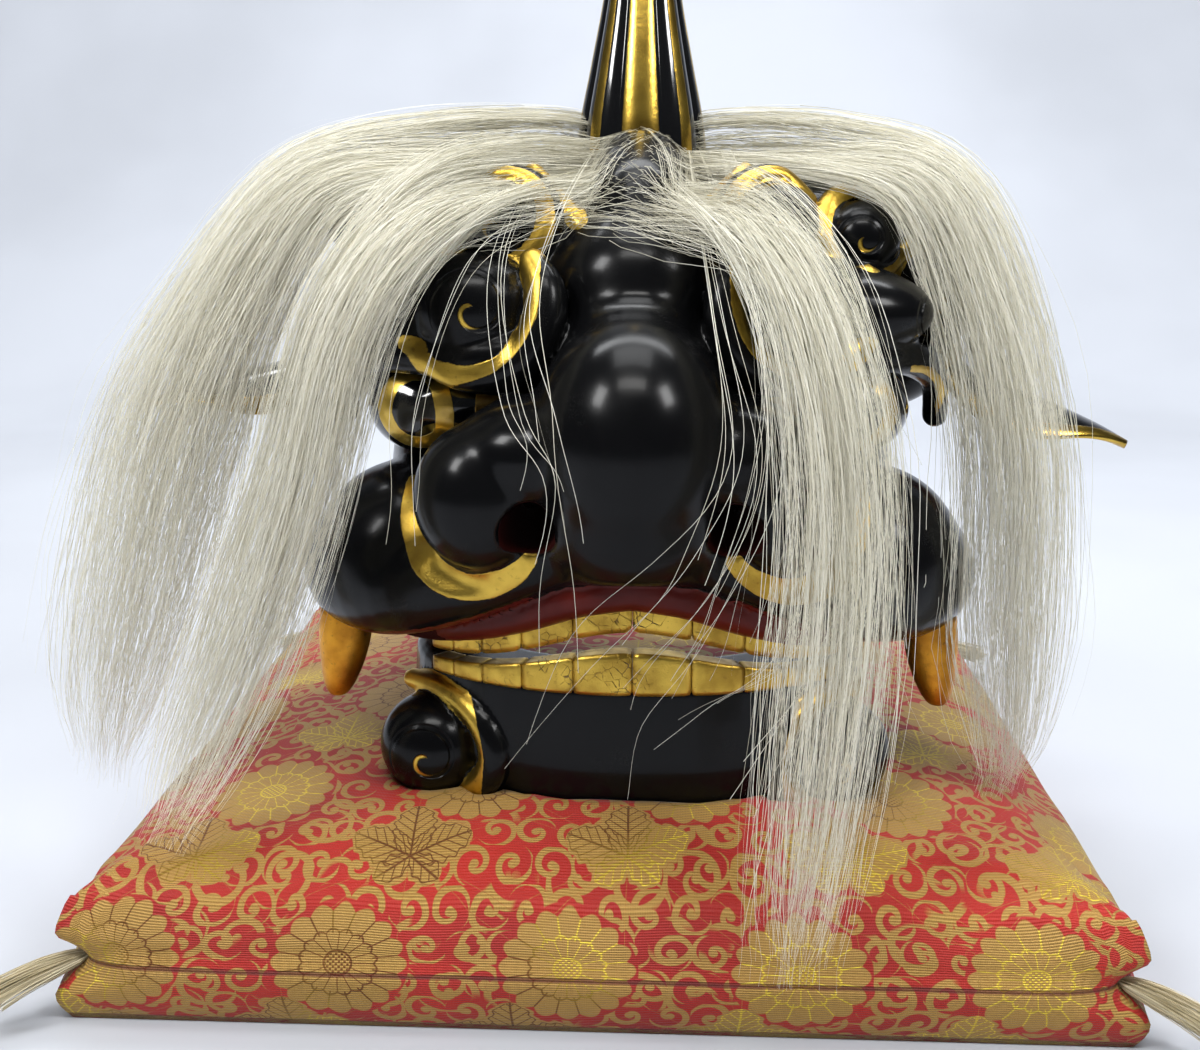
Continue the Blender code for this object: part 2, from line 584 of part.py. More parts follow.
def make_jaw():
    """The lower jaw: a tray with two arms back to the hinge, and a carved curl at each corner."""
    bm = bmesh.new()
    add_rings(bm, [[Vector((HEAD_X + x, y, CHIN_Z + rise * JAW_H)) for x, y in jaw_outline(0, share)]
                   for rise, share in JAW_RISE])
    jaw = to_object("jaw", bm)
    wedge_y = -0.02 * HEAD_D
    wedge = ((wedge_y, CHIN_Z - 0.02), (JAW_ARM_Y + 0.02, CHIN_Z - 0.02),
             (JAW_ARM_Y + 0.02, CHIN_Z + JAW_ARM_RISE), (wedge_y, CHIN_Z))
    bm = bmesh.new()
    add_rings(bm, [[Vector((x, y, z)) for y, z in wedge] for x in (-HEAD_W, HEAD_W)])
    boolean(jaw, to_object("wedge", bm, smooth=False))
    bm = bmesh.new()
    bm.from_mesh(jaw.data)
    add_forms(bm, JAW_FORMS)
    add_ridges(bm, JAW_RIDGES)
    bpy.data.objects.remove(jaw)
    jaw = reduced(fused("jaw", bm, FACE_VOXEL, 2), BLANK_TRIANGLES)
    boolean(jaw, slab_cutter((-HEAD_W, -HEAD_D, -HEAD_H), (HEAD_W, HEAD_D, CHIN_Z)))
    reduced(jaw, JAW_TRIANGLES)
    tray = bmesh.new()
    levels = ((CHIN_Z + JAW_FLOOR, 0.92), (CHIN_Z + JAW_FLOOR + 0.006, 0.99), (CHIN_Z + JAW_H + 0.01, 1.0))
    add_rings(tray, [[Vector((HEAD_X + x, y, z)) for x, y in jaw_outline(2, share)] for z, share in levels])
    boolean(jaw, to_object("tray", tray, smooth=False))
    inside = 0.69 * JAW_W / 2
    return boolean(jaw, slab_cutter((HEAD_X - inside, JAW_FLOOR_END_Y, 0), (HEAD_X + inside, HEAD_D, HEAD_H)))


def tooth_path(reach):
    """Point and outward direction on the teeth's arch at a distance along it from the middle."""
    half_w = TOOTH_ARCH_W / 2
    rows = [(half_w * math.sin(a) ** 0.95, -TOOTH_ARCH_FRONT + TOOTH_ARCH_DEPTH * (1 - math.cos(a)))
            for a in np.linspace(0, math.pi / 2, 40)]
    done = 0.0
    for (x0, y0), (x1, y1) in zip(rows[:-1], rows[1:]):
        step = math.hypot(x1 - x0, y1 - y0)
        if done + step >= reach:
            t = (reach - done) / step
            out = Vector((y0 - y1, x1 - x0, 0)).normalized()
            return Vector((x0 + (x1 - x0) * t, y0 + (y1 - y0) * t, 0)), Vector((-out.x, -out.y, 0))
        done += step
    return Vector((*rows[-1], 0)), Vector((1, 0, 0))


def make_teeth(name, upper):
    """One strip of teeth on its arch, biting down (upper) or up."""
    stations = []
    reach = 0.0
    for width in TOOTH_WIDTHS:
        size = width * HEAD_W / 100
        stations += [(reach + share * size, depth) for share, depth in TOOTH_STATIONS]
        reach += size
    stations.append((reach, 0.8))
    stations = [(-s, d) for s, d in reversed(stations[1:])] + stations
    rings = []
    for distance, depth in stations:
        point, out = tooth_path(abs(distance))
        if distance < 0:
            point.x, out.x = -point.x, -out.x
        droop = 1 - math.exp(-((point.x / BITE_ARCH_W) ** 2))
        if upper:
            bite, root = UPPER_BITE_Z - UPPER_BITE_ARCH * droop, lip_height(point.x) + TOOTH_ROOT
        else:
            bite, root = LOWER_BITE_Z - LOWER_BITE_ARCH * droop, CHIN_Z + JAW_H - TOOTH_ROOT
        thick = TOOTH_DEPTH * depth
        ring = []
        for depth_share, height_share in TOOTH_SECTION:
            spot = Vector((HEAD_X + point.x, point.y, 0)) - out * (TOOTH_DEPTH - thick * (1 - depth_share))
            ring.append(Vector((spot.x, spot.y, bite + (root - bite) * height_share)))
        rings.append(ring)
    bm = bmesh.new()
    add_rings(bm, rings)
    return to_object(name, bm)


def make_fang(name, side):
    """A blunt fang hanging from the corner of the upper lip."""
    root = place(FANG_ROOT)
    rings = []
    for down, across, fore, lean in FANG_SECTIONS:
        centre = root + Vector((lean * FANG_R, -lean * FANG_R * 0.5, -down * FANG_H))
        ring = []
        for k in range(10):
            a = 2 * math.pi * k / 10
            ring.append(centre + Vector((across * FANG_R * math.cos(a), fore * FANG_R * math.sin(a), 0)))
        rings.append(ring if side > 0 else [mirrored(p) for p in ring])
    bm = bmesh.new()
    add_rings(bm, rings)
    return to_object(name, bm)


def make_eye(name, side):
    """A bulging eyeball with its inner corner drawn out toward the nose."""
    bm = bmesh.new()
    ball, corner = place(EYE_PLACE), place(EYE_CORNER_PLACE)
    ball_size = (EYE_W / 2, 0.48 * EYE_W, EYE_H / 2)
    corner_size = (0.67 * EYE_W, 0.28 * EYE_W, 0.33 * EYE_H)
    if side < 0:
        ball, corner = mirrored(ball), mirrored(corner)
    add_ball(bm, ball, ball_size, -14 * side)
    add_ball(bm, corner, corner_size, -8 * side)
    return reduced(fused(name, bm, FINE_VOXEL, 3), EYE_TRIANGLES)


def make_ear(name, side):
    """A drooping leaf-shaped ear with a hollowed underside and a plug in the head."""
    root, tip = place(EAR_ROOT), place(EAR_TIPS[side])
    along = (tip - root).normalized()
    tip = root + along * EAR_L
    width_dir = Vector((0.1, -1, 0))
    width_dir = (width_dir - along * width_dir.dot(along)).normalized()
    face = along.cross(width_dir).normalized()
    rings = []
    for share, half, thick, hollow in spline(EAR_SECTIONS, 10):
        centre = root.lerp(tip, share)
        ring = []
        for k in range(12):
            a = 2 * math.pi * k / 12
            across = math.cos(a) * half * EAR_W / 2
            out = math.sin(a) * thick * EAR_T / 2
            if out > 0:
                out -= hollow * EAR_T * (1 - math.cos(a) ** 2)
            bend = EAR_CURL * (across / (EAR_W / 2)) ** 2 * hollow
            ring.append(centre + width_dir * across + face * (out + bend))
        rings.append(ring if side > 0 else [mirrored(p) for p in ring])
    bm = bmesh.new()
    add_rings(bm, rings)
    return to_object(name, bm)


def make_horn():
    """A fluted horn that tapers and leans back a little."""
    base = Vector((HEAD_X, HORN_Y, HORN_BASE_Z))
    rings = []
    sides = 3 * HORN_FLUTES
    for up, radius, lean in spline(HORN_SECTIONS, 9):
        centre = base + Vector((0, lean * HORN_H, up * HORN_H))
        ring = []
        for k in range(sides):
            a = 2 * math.pi * k / sides
            r = HORN_R * radius * (1 - 0.07 * (k % 3 == 0))
            ring.append(centre + Vector((r * math.sin(a), -r * math.cos(a) * 0.92, 0)))
        rings.append(ring)
    bm = bmesh.new()
    add_rings(bm, rings)
    return to_object("horn", bm)


def make_pin(name, side):
    """A wooden hinge pin through the head's side and the jaw's arm."""
    middle = Vector((HEAD_X + side * PIN_X, HINGE_Y, HINGE_Z))
    frame = Matrix.Translation(middle) @ Matrix.Rotation(math.pi / 2, 4, "Y")
    bm = bmesh.new()
    bmesh.ops.create_cone(bm, cap_ends=True, segments=16, radius1=PIN_R, radius2=PIN_R, depth=PIN_L,
                          matrix=frame)
    return to_object(name, bm, smooth=False)


def lock_rings(rows, place_across, width_share, length_share):
    """Sections of one strip of a lock, as flat ovals that face out from the head."""
    data = spline([(*place(c), w * HEAD_W / 100, t * HEAD_W / 100) for c, w, t in rows], 60)
    last = int(59 * length_share)
    picks = np.linspace(0, last, STRIP_STATIONS).astype(int)
    centre = Vector((HEAD_X, 0.05 * HEAD_D, CHIN_Z + 0.62 * HEAD_H))
    rings = []
    for i in picks:
        spot = Vector(data[i][:3])
        along = (Vector(data[min(i + 2, 59)][:3]) - Vector(data[max(i - 2, 0)][:3])).normalized()
        out = spot - centre
        out.x *= 0.35
        out = (out - along * out.dot(along)).normalized()
        across = along.cross(out)
        half, thick = data[i][3], data[i][4]
        near_end = (i / last) ** 6
        middle = spot + across * place_across * half
        wide, deep = half * width_share * (1 - 0.55 * near_end), thick * (1 - 0.5 * near_end)
        angles = [2 * math.pi * k / STRIP_SIDES for k in range(STRIP_SIDES)]
        rings.append([middle + across * wide * math.cos(a) + out * deep * math.sin(a) for a in angles])
    return rings


def make_mane(name, neighbours):
    """One side of the mane: locks fused at the crown, cut to lie on the carving below."""
    bm = bmesh.new()
    for rows in MANE_LOCKS[name]:
        for across, width, length in LOCK_STRIPS:
            add_rings(bm, lock_rings(rows, across, width, length))
    mane = reduced(fused(name, bm, MANE_VOXEL, 2), MANE_TRIANGLES)
    for other in neighbours:
        boolean(mane, offset_skin(other, MANE_SKIN, SKIN_VOXEL, MANE_SKIN_TRIANGLES))
    return largest_piece(mane)


def cushion_point(u, v, w, top):
    """A point of the cushion: u and v run over the plan, w up the side."""
    half_w, half_d = CUSHION_W / 2, CUSHION_D / 2
    if top is None:
        corner = (abs(u) * abs(v)) ** 14
        fold = CORNER_FOLD * corner + SEAM_DEPTH
        inset = CUSHION_BULGE * (1 - math.sin(math.pi * (0.12 + 0.76 * w))) * 1.2
        seam = fold * math.exp(-(((w - 0.5) / 0.16) ** 2))
        shrink = 1 - (inset + seam) / half_w
        return Vector((u * half_w * shrink, v * half_d * shrink, w * CUSHION_EDGE_H))
    rim = cushion_point(u, v, 1.0 if top else 0.0, None)
    edge = max(abs(u), abs(v))
    if not top or edge > 0.999:
        return rim
    swell = ((1 - u * u) * (1 - v * v)) ** 0.62
    return Vector((rim.x, rim.y, CUSHION_EDGE_H + (CUSHION_CROWN_H - CUSHION_EDGE_H) * swell))


def make_cushion(jaw):
    """The square cushion: flat below, seamed sides with folded corners, swelling top."""
    n = CUSHION_CELLS
    ticks = [math.sin(math.pi / 2 * (2 * i / n - 1)) * 0.35 + 0.65 * (2 * i / n - 1) for i in range(n + 1)]
    levels = (0.0, 0.22, 0.4, 0.5, 0.6, 0.8, 1.0)
    bm = bmesh.new()
    for top in (True, False):
        grid = [[bm.verts.new(cushion_point(u, v, 0, top)) for v in ticks] for u in ticks]
        for i in range(n):
            for j in range(n):
                bm.faces.new((grid[i][j], grid[i + 1][j], grid[i + 1][j + 1], grid[i][j + 1]))
    rim = [(t, -1) for t in ticks] + [(1, t) for t in ticks[1:]]
    rim += [(t, 1) for t in reversed(ticks[:-1])] + [(-1, t) for t in reversed(ticks[1:-1])]
    loops = [[bm.verts.new(cushion_point(u, v, w, None)) for u, v in rim] for w in levels]
    for low, high in zip(loops[:-1], loops[1:]):
        for i in range(len(rim)):
            j = (i + 1) % len(rim)
            bm.faces.new((low[i], low[j], high[j], high[i]))
    bmesh.ops.remove_doubles(bm, verts=bm.verts, dist=1e-6)
    cushion = to_object("cushion", bm)
    boolean(cushion, offset_skin(jaw, CUSHION_DENT, SKIN_VOXEL, DENT_TRIANGLES))
    return boolean(cushion, grown(jaw, GAP))


def make_tassel(name, side_x, side_y):
    """A short thread tassel whose neck is caught in the fold of a cushion corner."""
    start = cushion_point(side_x, side_y, 0.5, None)
    out = Vector((side_x, side_y * 0.55, 0)).normalized()
    across = Vector((-out.y, out.x, 0))
    bm = bmesh.new()
    for shift, spread, reach in TASSEL_LOCKS:
        rings = []
        for t, share in TASSEL_SECTIONS:
            length = t * TASSEL_L * reach
            drop = TASSEL_DROOP * t * t
            centre = start + out * (length - TASSEL_SEAT) + across * shift * TASSEL_R * t * 1.3
            centre.z -= drop
            r = TASSEL_R * share * (0.8 if t > 0.3 else 1.0)
            angles = [2 * math.pi * k / 8 for k in range(8)]
            rings.append([centre + across * r * spread * math.cos(a) + Vector((0, 0, r * math.sin(a)))
                          for a in angles])
        add_rings(bm, rings)
    return reduced(fused(name, bm, TASSEL_VOXEL, 2), TASSEL_TRIANGLES)


def finish(thing, colour):
    """Cleans the mesh, moves the origin to the solid's middle and gives it its material."""
    bm = bmesh.new()
    bm.from_mesh(thing.data)
    bmesh.ops.remove_doubles(bm, verts=bm.verts, dist=1e-6)
    bmesh.ops.dissolve_degenerate(bm, dist=1e-6, edges=bm.edges)
    bmesh.ops.triangulate(bm, faces=bm.faces)
    bmesh.ops.recalc_face_normals(bm, faces=bm.faces)
    middle = sum((v.co for v in bm.verts), Vector()) / len(bm.verts)
    bm.transform(Matrix.Translation(-middle))
    bm.to_mesh(thing.data)
    bm.free()
    thing.location = middle
    thing.data.materials.clear()
    thing.data.materials.append(material(colour + "." + thing.name))
    thing.data.shade_smooth()


def main():
    """Builds every piece and cuts the seats between them."""
    for old in list(bpy.data.objects):
        bpy.data.objects.remove(old)
    skull = make_skull()
    jaw = make_jaw()
    upper_teeth, lower_teeth = make_teeth("upper_teeth", True), make_teeth("lower_teeth", False)
    fangs = [make_fang("fang_right", 1), make_fang("fang_left", -1)]
    eyes = [make_eye("eye_right", 1), make_eye("eye_left", -1)]
    ears = [make_ear("ear_right", 1), make_ear("ear_left", -1)]
    pins = [make_pin("hinge_pin_right", 1), make_pin("hinge_pin_left", -1)]
    horn = make_horn()
    for piece in [upper_teeth, horn] + fangs + eyes + ears + pins:
        boolean(skull, grown(piece, GAP))
    for piece in [lower_teeth] + pins:
        boolean(jaw, grown(piece, GAP))
    manes = [make_mane("mane_left", [skull, horn, ears[1]]), make_mane("mane_right", [skull, horn, ears[0]])]
    cushion = make_cushion(jaw)
    tassels = [make_tassel("tassel_front_left", -1, -1), make_tassel("tassel_front_right", 1, -1),
               make_tassel("tassel_rear_left", -1, 1), make_tassel("tassel_rear_right", 1, 1)]
    for tassel in tassels:
        boolean(cushion, grown(tassel, GAP))
    for thing in [skull, jaw, horn] + ears:
        finish(thing, "black_lacquer")
    for thing in [upper_teeth, lower_teeth] + fangs + eyes:
        finish(thing, "gold_leaf")
    for thing in manes:
        finish(thing, "horsehair")
    for thing in tassels:
        finish(thing, "cream_thread")
    for thing in pins:
        finish(thing, "oak_pin")
    finish(cushion, "brocade")


main()
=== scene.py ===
import math

import bmesh
import bpy
import numpy as np
from mathutils import Matrix, Vector


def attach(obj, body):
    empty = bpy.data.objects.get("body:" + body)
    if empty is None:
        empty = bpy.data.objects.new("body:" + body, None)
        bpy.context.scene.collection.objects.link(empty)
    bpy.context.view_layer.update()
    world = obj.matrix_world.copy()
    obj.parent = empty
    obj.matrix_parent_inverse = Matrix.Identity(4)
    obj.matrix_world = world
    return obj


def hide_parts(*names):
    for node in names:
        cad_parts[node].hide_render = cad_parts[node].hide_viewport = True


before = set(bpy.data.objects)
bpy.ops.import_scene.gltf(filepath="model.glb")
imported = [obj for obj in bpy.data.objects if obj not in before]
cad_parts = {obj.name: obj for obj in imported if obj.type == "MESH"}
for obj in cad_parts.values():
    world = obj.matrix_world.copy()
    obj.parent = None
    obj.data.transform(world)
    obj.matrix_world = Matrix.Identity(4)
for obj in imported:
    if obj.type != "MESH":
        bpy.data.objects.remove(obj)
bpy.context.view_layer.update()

HEAD_X = 12.0
BIG = ((-1e3,) * 3, (1e3,) * 3)

# Carved forms in mm, x measured from the head's middle plane.
# name, centre, radii, turn about Z, blend
BASE = (
    ("cranium", (0, 20, 206), (104, 140, 99), 0, 0),
    ("side_wall", (84, -12, 166), (24, 84, 66), 0, 10),
    ("hinge_side", (91, 34, 124), (14, 40, 34), 0, 8),
    ("upper_face", (0, -60, 250), (92, 62, 48), 0, 14),
    ("pad", (88, -96, 153), (38.5, 42, 36), -10, 10),
    ("pad_outer", (109, -81, 145), (25.4, 39, 25), 0, 9),
    ("nose_lower", (0, -136, 182), (40, 44, 35), 0, 10),
    ("nose_bulb", (0, -146, 206), (37, 44, 44), 0, 6),
    ("nose_root", (0, -110, 232), (30, 42, 30), 0, 8),
)
LIP = ((0, -146, 176, 17), (32, -143, 166, 17), (62, -136, 154, 18), (90, -122, 144, 18),
       (112, -98, 141, 16), (118, -66, 143, 13), (108, -30, 146, 9))
FACE = (
    ("brow", (60, -100, 248), (50, 30, 20), -12, 5),
    ("forehead", (0, -106, 256), (33, 29, 28), 0, 9),
    ("knob", (108, -22, 286), (31, 34, 25), 0, 4),
    ("knob_neck", (82, -5, 274), (31, 46, 27), 0, 8),
    ("horn_seat", (0, -36, 296), (31, 34, 18), 0, 6),
    ("ear_seat", (106, -38, 222), (20, 22, 18), 0, 6),
)
SWIRLS = (
    ("swirl_1", (59, -118, 250), (24, 22, 21), 0, 1.2),
    ("swirl_2", (51, -103, 279), (16, 17, 15.5), 0, 1.2),
    ("swirl_3", (84, -88, 274), (15, 16, 14.5), 0, 1.2),
    ("temple", (111, -66, 247), (20, 22, 20.5), 0, 1.2),
)
WING = (("wing_neck", (34, -146, 202), (30, 26, 20), 0, 9), ("wing", (54, -149, 186), (24, 23.5, 27), 0, 4))
SOCKET = ("socket", (84, -134, 211), (50, 36, 18.5), -8, 3)
RIDGES = {
    "brow_edge": ((28, -128, 238, 8), (48, -133, 234, 8), (74, -126, 233, 7), (98, -108, 232, 7),
                  (112, -88, 227, 6)),
    "lid": ((118, -74, 205, 5), (114, -88, 221, 5), (101, -103, 231, 5)),
    "mid_ridge": ((0, -102, 272, 19), (0, -90, 285, 20), (0, -66, 296, 19)),
    "crescent_1": ((84, -112, 263, 3), (86, -118, 247, 4.5), (75, -127, 233, 5.5), (58, -133, 227, 6.5),
                   (41, -136, 232, 7.5), (33, -135, 244, 8), (32, -131, 257, 7.5), (37, -125, 267, 5)),
    "crescent_2": ((64, -94, 288, 3), (52, -95, 297, 4), (39, -99, 294, 5), (33, -106, 282, 6),
                   (38, -111, 270, 6), (50, -112, 264, 5), (62, -108, 266, 3)),
    "crescent_3": ((97, -76, 284, 3), (84, -78, 292, 4), (73, -86, 288, 4.5), (69, -94, 276, 5),
                   (76, -98, 263, 5), (90, -94, 261, 4), (100, -84, 268, 3)),
    "ridge_line": ((40, -88, 299, 3.6), (27, -101, 286, 4.2), (15, -112, 274, 2.8)),
    "temple_rim": ((122, -52, 271, 3), (108, -64, 271, 4.5), (96, -78, 261, 5), (93, -84, 247, 5.5),
                   (99, -83, 232, 5.5), (113, -72, 224, 5), (127, -58, 228, 4)),
    "knob_rim": ((88, -58, 296, 5), (108, -58, 299, 6), (125, -46, 294, 6), (136, -28, 284, 4)),
}
INNER_LIP = ((0, -149, 153.5, 8.5), (20, -147.5, 149.5, 8), (40, -140.5, 140.5, 7), (60, -131, 132.6, 5.8),
             (80, -117, 127.5, 5.1), (95, -99, 124.6, 4.2), (104, -78.6, 124, 3.4))
GROOVE = ((83.5, -146.5, 198, 4), (84.2, -149, 182, 5.3), (78, -153, 167, 6.5), (65, -158.5, 156.8, 7.3),
          (49.6, -163.4, 154, 6.8), (37.5, -167, 157.3, 4.6))
NOSTRIL = ((38, -208, 171.3, 9.5), (35, -150, 180, 9.5), (30, -112, 187.5, 7.0), (28, -68, 195.5, 3.2))
JAW_SWIRL = ("jaw_swirl", (78, -121, 81.5), (21, 20, 20.5), 0, 1.5)
JAW_CRESCENT = ((88, -108, 103, 4), (72, -122, 103, 5), (58, -133, 96, 6), (52, -137, 83, 6.5),
                (57, -134, 71, 6),
                (70, -124, 64, 4))

CRESCENTS = ("crescent_1", "crescent_2", "crescent_3", "ridge_line", "temple_rim", "knob_rim")
JAW_PLAN = (
    (0.00, -60.3, 0.00, -48.0),
    (0.31, -59.5, 0.27, -47.1),
    (0.60, -55.8, 0.50, -43.0),
    (0.83, -47.9, 0.65, -36.4),
    (0.95, -37.2, 0.71, -26.4),
    (0.945, -26.5, 0.71, -14.5),
    (0.865, -13.5, 0.69, -4.0),
    (0.85, -3.0, 0.68, 6.0),
)
JAW_RISE = ((0.0, 0.86), (0.07, 0.93), (0.36, 0.985), (0.72, 1.0), (0.93, 0.985), (1.0, 0.955))
TOOTH_WIDTHS = (9.1, 8.3, 7.0, 5.8, 5.0)
FANG_SECTIONS = ((0.0, 0.95, 1.0, 0.0), (0.3, 1.0, 1.05, 0.05), (0.6, 0.86, 0.95, 0.16),
                 (0.86, 0.62, 0.72, 0.30), (1.0, 0.34, 0.42, 0.36))
EAR_TIPS = {1: (82.5, -24.8, 54.0), -1: (82.5, -24.8, 60.5)}
EAR_SECTIONS = ((0.0, 0.42, 0.95, 0.0), (0.14, 0.62, 1.0, 0.1), (0.3, 0.9, 1.0, 0.42), (0.5, 1.0, 0.95, 0.5),
                (0.7, 0.84, 0.8, 0.42), (0.87, 0.5, 0.62, 0.2), (1.0, 0.1, 0.3, 0.0))
HORN_SECTIONS = ((0.0, 1.0, 0.0), (0.15, 0.97, 0.0), (0.34, 0.78, 0.01), (0.5, 0.62, 0.03),
                 (0.68, 0.47, 0.06), (0.84, 0.33, 0.10), (0.95, 0.19, 0.135), (1.0, 0.06, 0.15))
MANE_LOCKS = {
    "mane_left": (
        (((-4, -24.5, 104.6), 3.2, 3.2), ((-14, -25, 106.6), 4.8, 4.0), ((-33.5, -31, 104.0), 6.6, 4.2),
         ((-51.2, -38, 97.5), 8.2, 4.4), ((-64, -42.1, 79), 10.5, 4.6), ((-73, -44.6, 58.7), 13.6, 4.6),
         ((-80.5, -46.3, 34.3), 13.2, 4.0), ((-86.6, -46.8, 13), 10.0, 2.9), ((-88.5, -46.8, 3.0), 6.0, 1.8)),
        (((-3, -30, 102.6), 3.2, 3.2), ((-14, -38, 102.6), 4.8, 3.8), ((-24.5, -50.5, 98.5), 5.8, 4.2),
         ((-33, -60.5, 89.0), 6.6, 4.2), ((-39.5, -66.0, 76.4), 7.2, 4.2), ((-45.5, -68.2, 55.4), 8.0, 4.0),
         ((-54, -69.5, 32.6), 8.2, 3.5), ((-62.5, -71.5, 14), 6.4, 2.4), ((-66, -76, 6.0), 4.2, 1.6)),
    ),
    "mane_right": (
        (((4, -24.5, 104.6), 3.2, 3.2), ((13, -25, 106.4), 4.8, 4.0), ((30.2, -29.8, 104.4), 6.0, 4.2),
         ((45.0, -37.2, 97.6), 7.6, 4.4), ((53.3, -41.3, 79.3), 8.6, 4.6), ((58.0, -44.6, 56.6), 9.4, 4.4),
         ((59.0, -46.8, 29.8), 9.8, 3.8), ((60, -47.6, 10), 6.4, 2.6), ((59, -47.6, 3.0), 4.2, 1.6)),
        (((3, -30, 102.6), 3.2, 3.2), ((8, -44, 100.6), 5.0, 3.8), ((14.5, -57.0, 95.9), 6.4, 4.2),
         ((22, -67.5, 83.4), 8.2, 4.2), ((26.4, -73.5, 66.5), 9.6, 4.2), ((27.6, -77.5, 47.1), 10.2, 4.0),
         ((26.4, -82.2, 26), 10.4, 3.4), ((24, -86.8, 4), 8.6, 2.6), ((23, -88, -7.0), 6.2, 1.7)),
    ),
}


# Distance fields.
class Field:
    """A distance field on a half grid, x >= 0, mirrored about x = 0."""

    def __init__(self, low, high, step):
        self.step = step
        self.axes = [np.arange(low[i], high[i] + step, step, dtype=np.float32) for i in range(3)]
        self.low = np.array([a[0] for a in self.axes], np.float32)
        self.d = np.full([len(a) for a in self.axes], 30.0, np.float32)

    def window(self, low, high):
        cut = []
        for axis, lo, hi in zip(self.axes, low, high):
            cut.append(slice(max(int(np.searchsorted(axis, lo)) - 1, 0), int(np.searchsorted(axis, hi)) + 1))
        x, y, z = (axis[c] for axis, c in zip(self.axes, cut))
        return tuple(cut), x[:, None, None], y[None, :, None], z[None, None, :]

    def add(self, box, fn, k=4.0, cut=False):
        where, x, y, z = self.window(*box)
        if 0 in self.d[where].shape:
            return
        sign = -1.0 if cut else 1.0
        self.d[where] = sign * smooth_min(sign * self.d[where], fn(x, y, z), k)

    def ball(self, row, cut=False):
        _, centre, radii, turn, k = row
        reach = max(radii) + 14
        box = ([c - reach for c in centre], [c + reach for c in centre])
        self.add(box, ellipsoid(centre, radii, turn), k, cut)

    def bar(self, rows, k, cut=False, count=4):
        rows = spline(rows, count * len(rows))
        reach = rows[:, 3].max() + 14
        box = (rows[:, :3].min(0) - reach, rows[:, :3].max(0) + reach)
        self.add(box, tube(rows), k, cut)

    def full(self):
        """The whole field, both sides, and its low corner."""
        both = np.concatenate([self.d[:0:-1], self.d], axis=0)
        return both, np.array([-self.axes[0][-1], self.low[1], self.low[2]], np.float32)


def smooth_min(a, b, k):
    if k <= 0:
        return np.minimum(a, b)
    h = np.maximum(k - np.abs(a - b), 0.0) / k
    return np.minimum(a, b) - h * h * h * k / 6.0


def ellipsoid(centre, radii, turn=0.0):
    c, s = math.cos(math.radians(turn)), math.sin(math.radians(turn))

    def fn(x, y, z):
        px, py, pz = x - centre[0], y - centre[1], z - centre[2]
        a, b = c * px + s * py, c * py - s * px
        k0 = np.sqrt((a / radii[0]) ** 2 + (b / radii[1]) ** 2 + (pz / radii[2]) ** 2)
        k1 = np.sqrt((a / radii[0] ** 2) ** 2 + (b / radii[1] ** 2) ** 2 + (pz / radii[2] ** 2) ** 2) + 1e-6
        return k0 * (k0 - 1.0) / k1

    return fn


def tube(rows):
    rows = np.asarray(rows, np.float32)

    def fn(x, y, z):
        best = None
        for a, b in zip(rows[:-1], rows[1:]):
            ab = b - a
            t = ((x - a[0]) * ab[0] + (y - a[1]) * ab[1] + (z - a[2]) * ab[2]) \
                / (float(ab[:3] @ ab[:3]) + 1e-6)
            t = np.clip(t, 0, 1)
            gap = np.sqrt((x - a[0] - t * ab[0]) ** 2 + (y - a[1] - t * ab[1]) ** 2
                          + (z - a[2] - t * ab[2]) ** 2)
            gap = gap - (a[3] + t * ab[3])
            best = gap if best is None else np.minimum(best, gap)
        return best

    return fn


def spline(rows, count):
    """Smooth rows of numbers through the given rows."""
    v = np.array(rows, dtype=float)
    last = len(v) - 1
    at = np.linspace(0, last, count)
    i = np.minimum(at.astype(int), last - 1)
    t = (at - i)[:, None]
    p0, p1, p2, p3 = v[np.maximum(i - 1, 0)], v[i], v[i + 1], v[np.minimum(i + 2, last)]
    m1, m2 = (p2 - p0) / 2, (p3 - p1) / 2
    return ((2 * t**3 - 3 * t**2 + 1) * p1 + (t**3 - 2 * t**2 + t) * m1 + (-2 * t**3 + 3 * t**2) * p2
            + (t**3 - t**2) * m2)


def surface_net(d, low, h):
    """Vertices and quads of the field's zero level."""
    cells = np.array(d.shape) - 1
    total = int(np.prod(cells))
    place, count, quads = np.zeros((total, 3)), np.zeros(total, np.int32), []
    for ax in range(3):
        head, tail = [slice(None)] * 3, [slice(None)] * 3
        head[ax], tail[ax] = slice(0, -1), slice(1, None)
        a, b = d[tuple(head)], d[tuple(tail)]
        at = np.argwhere((a < 0) != (b < 0))
        o1, o2 = [q for q in range(3) if q != ax]
        at = at[(at[:, o1] > 0) & (at[:, o1] < cells[o1]) & (at[:, o2] > 0) & (at[:, o2] < cells[o2])]
        va, vb = a[tuple(at.T)], b[tuple(at.T)]
        p = at.astype(float)
        p[:, ax] += va / (va - vb)
        ids = []
        for s1, s2 in ((0, 0), (-1, 0), (-1, -1), (0, -1)):
            c = at.copy()
            c[:, o1] += s1
            c[:, o2] += s2
            ci = (c[:, 0] * cells[1] + c[:, 1]) * cells[2] + c[:, 2]
            ids.append(ci)
            for q in range(3):
                place[:, q] += np.bincount(ci, weights=p[:, q], minlength=total)
            count += np.bincount(ci, minlength=total).astype(np.int32)
        quad = np.stack(ids, 1)
        flip = (va < 0) == (ax != 1)
        quad[~flip] = quad[~flip][:, ::-1]
        quads.append(quad)
    used = np.flatnonzero(count)
    remap = np.full(total, -1, np.int64)
    remap[used] = np.arange(len(used))
    return place[used] / count[used][:, None] * h + low, remap[np.concatenate(quads)]


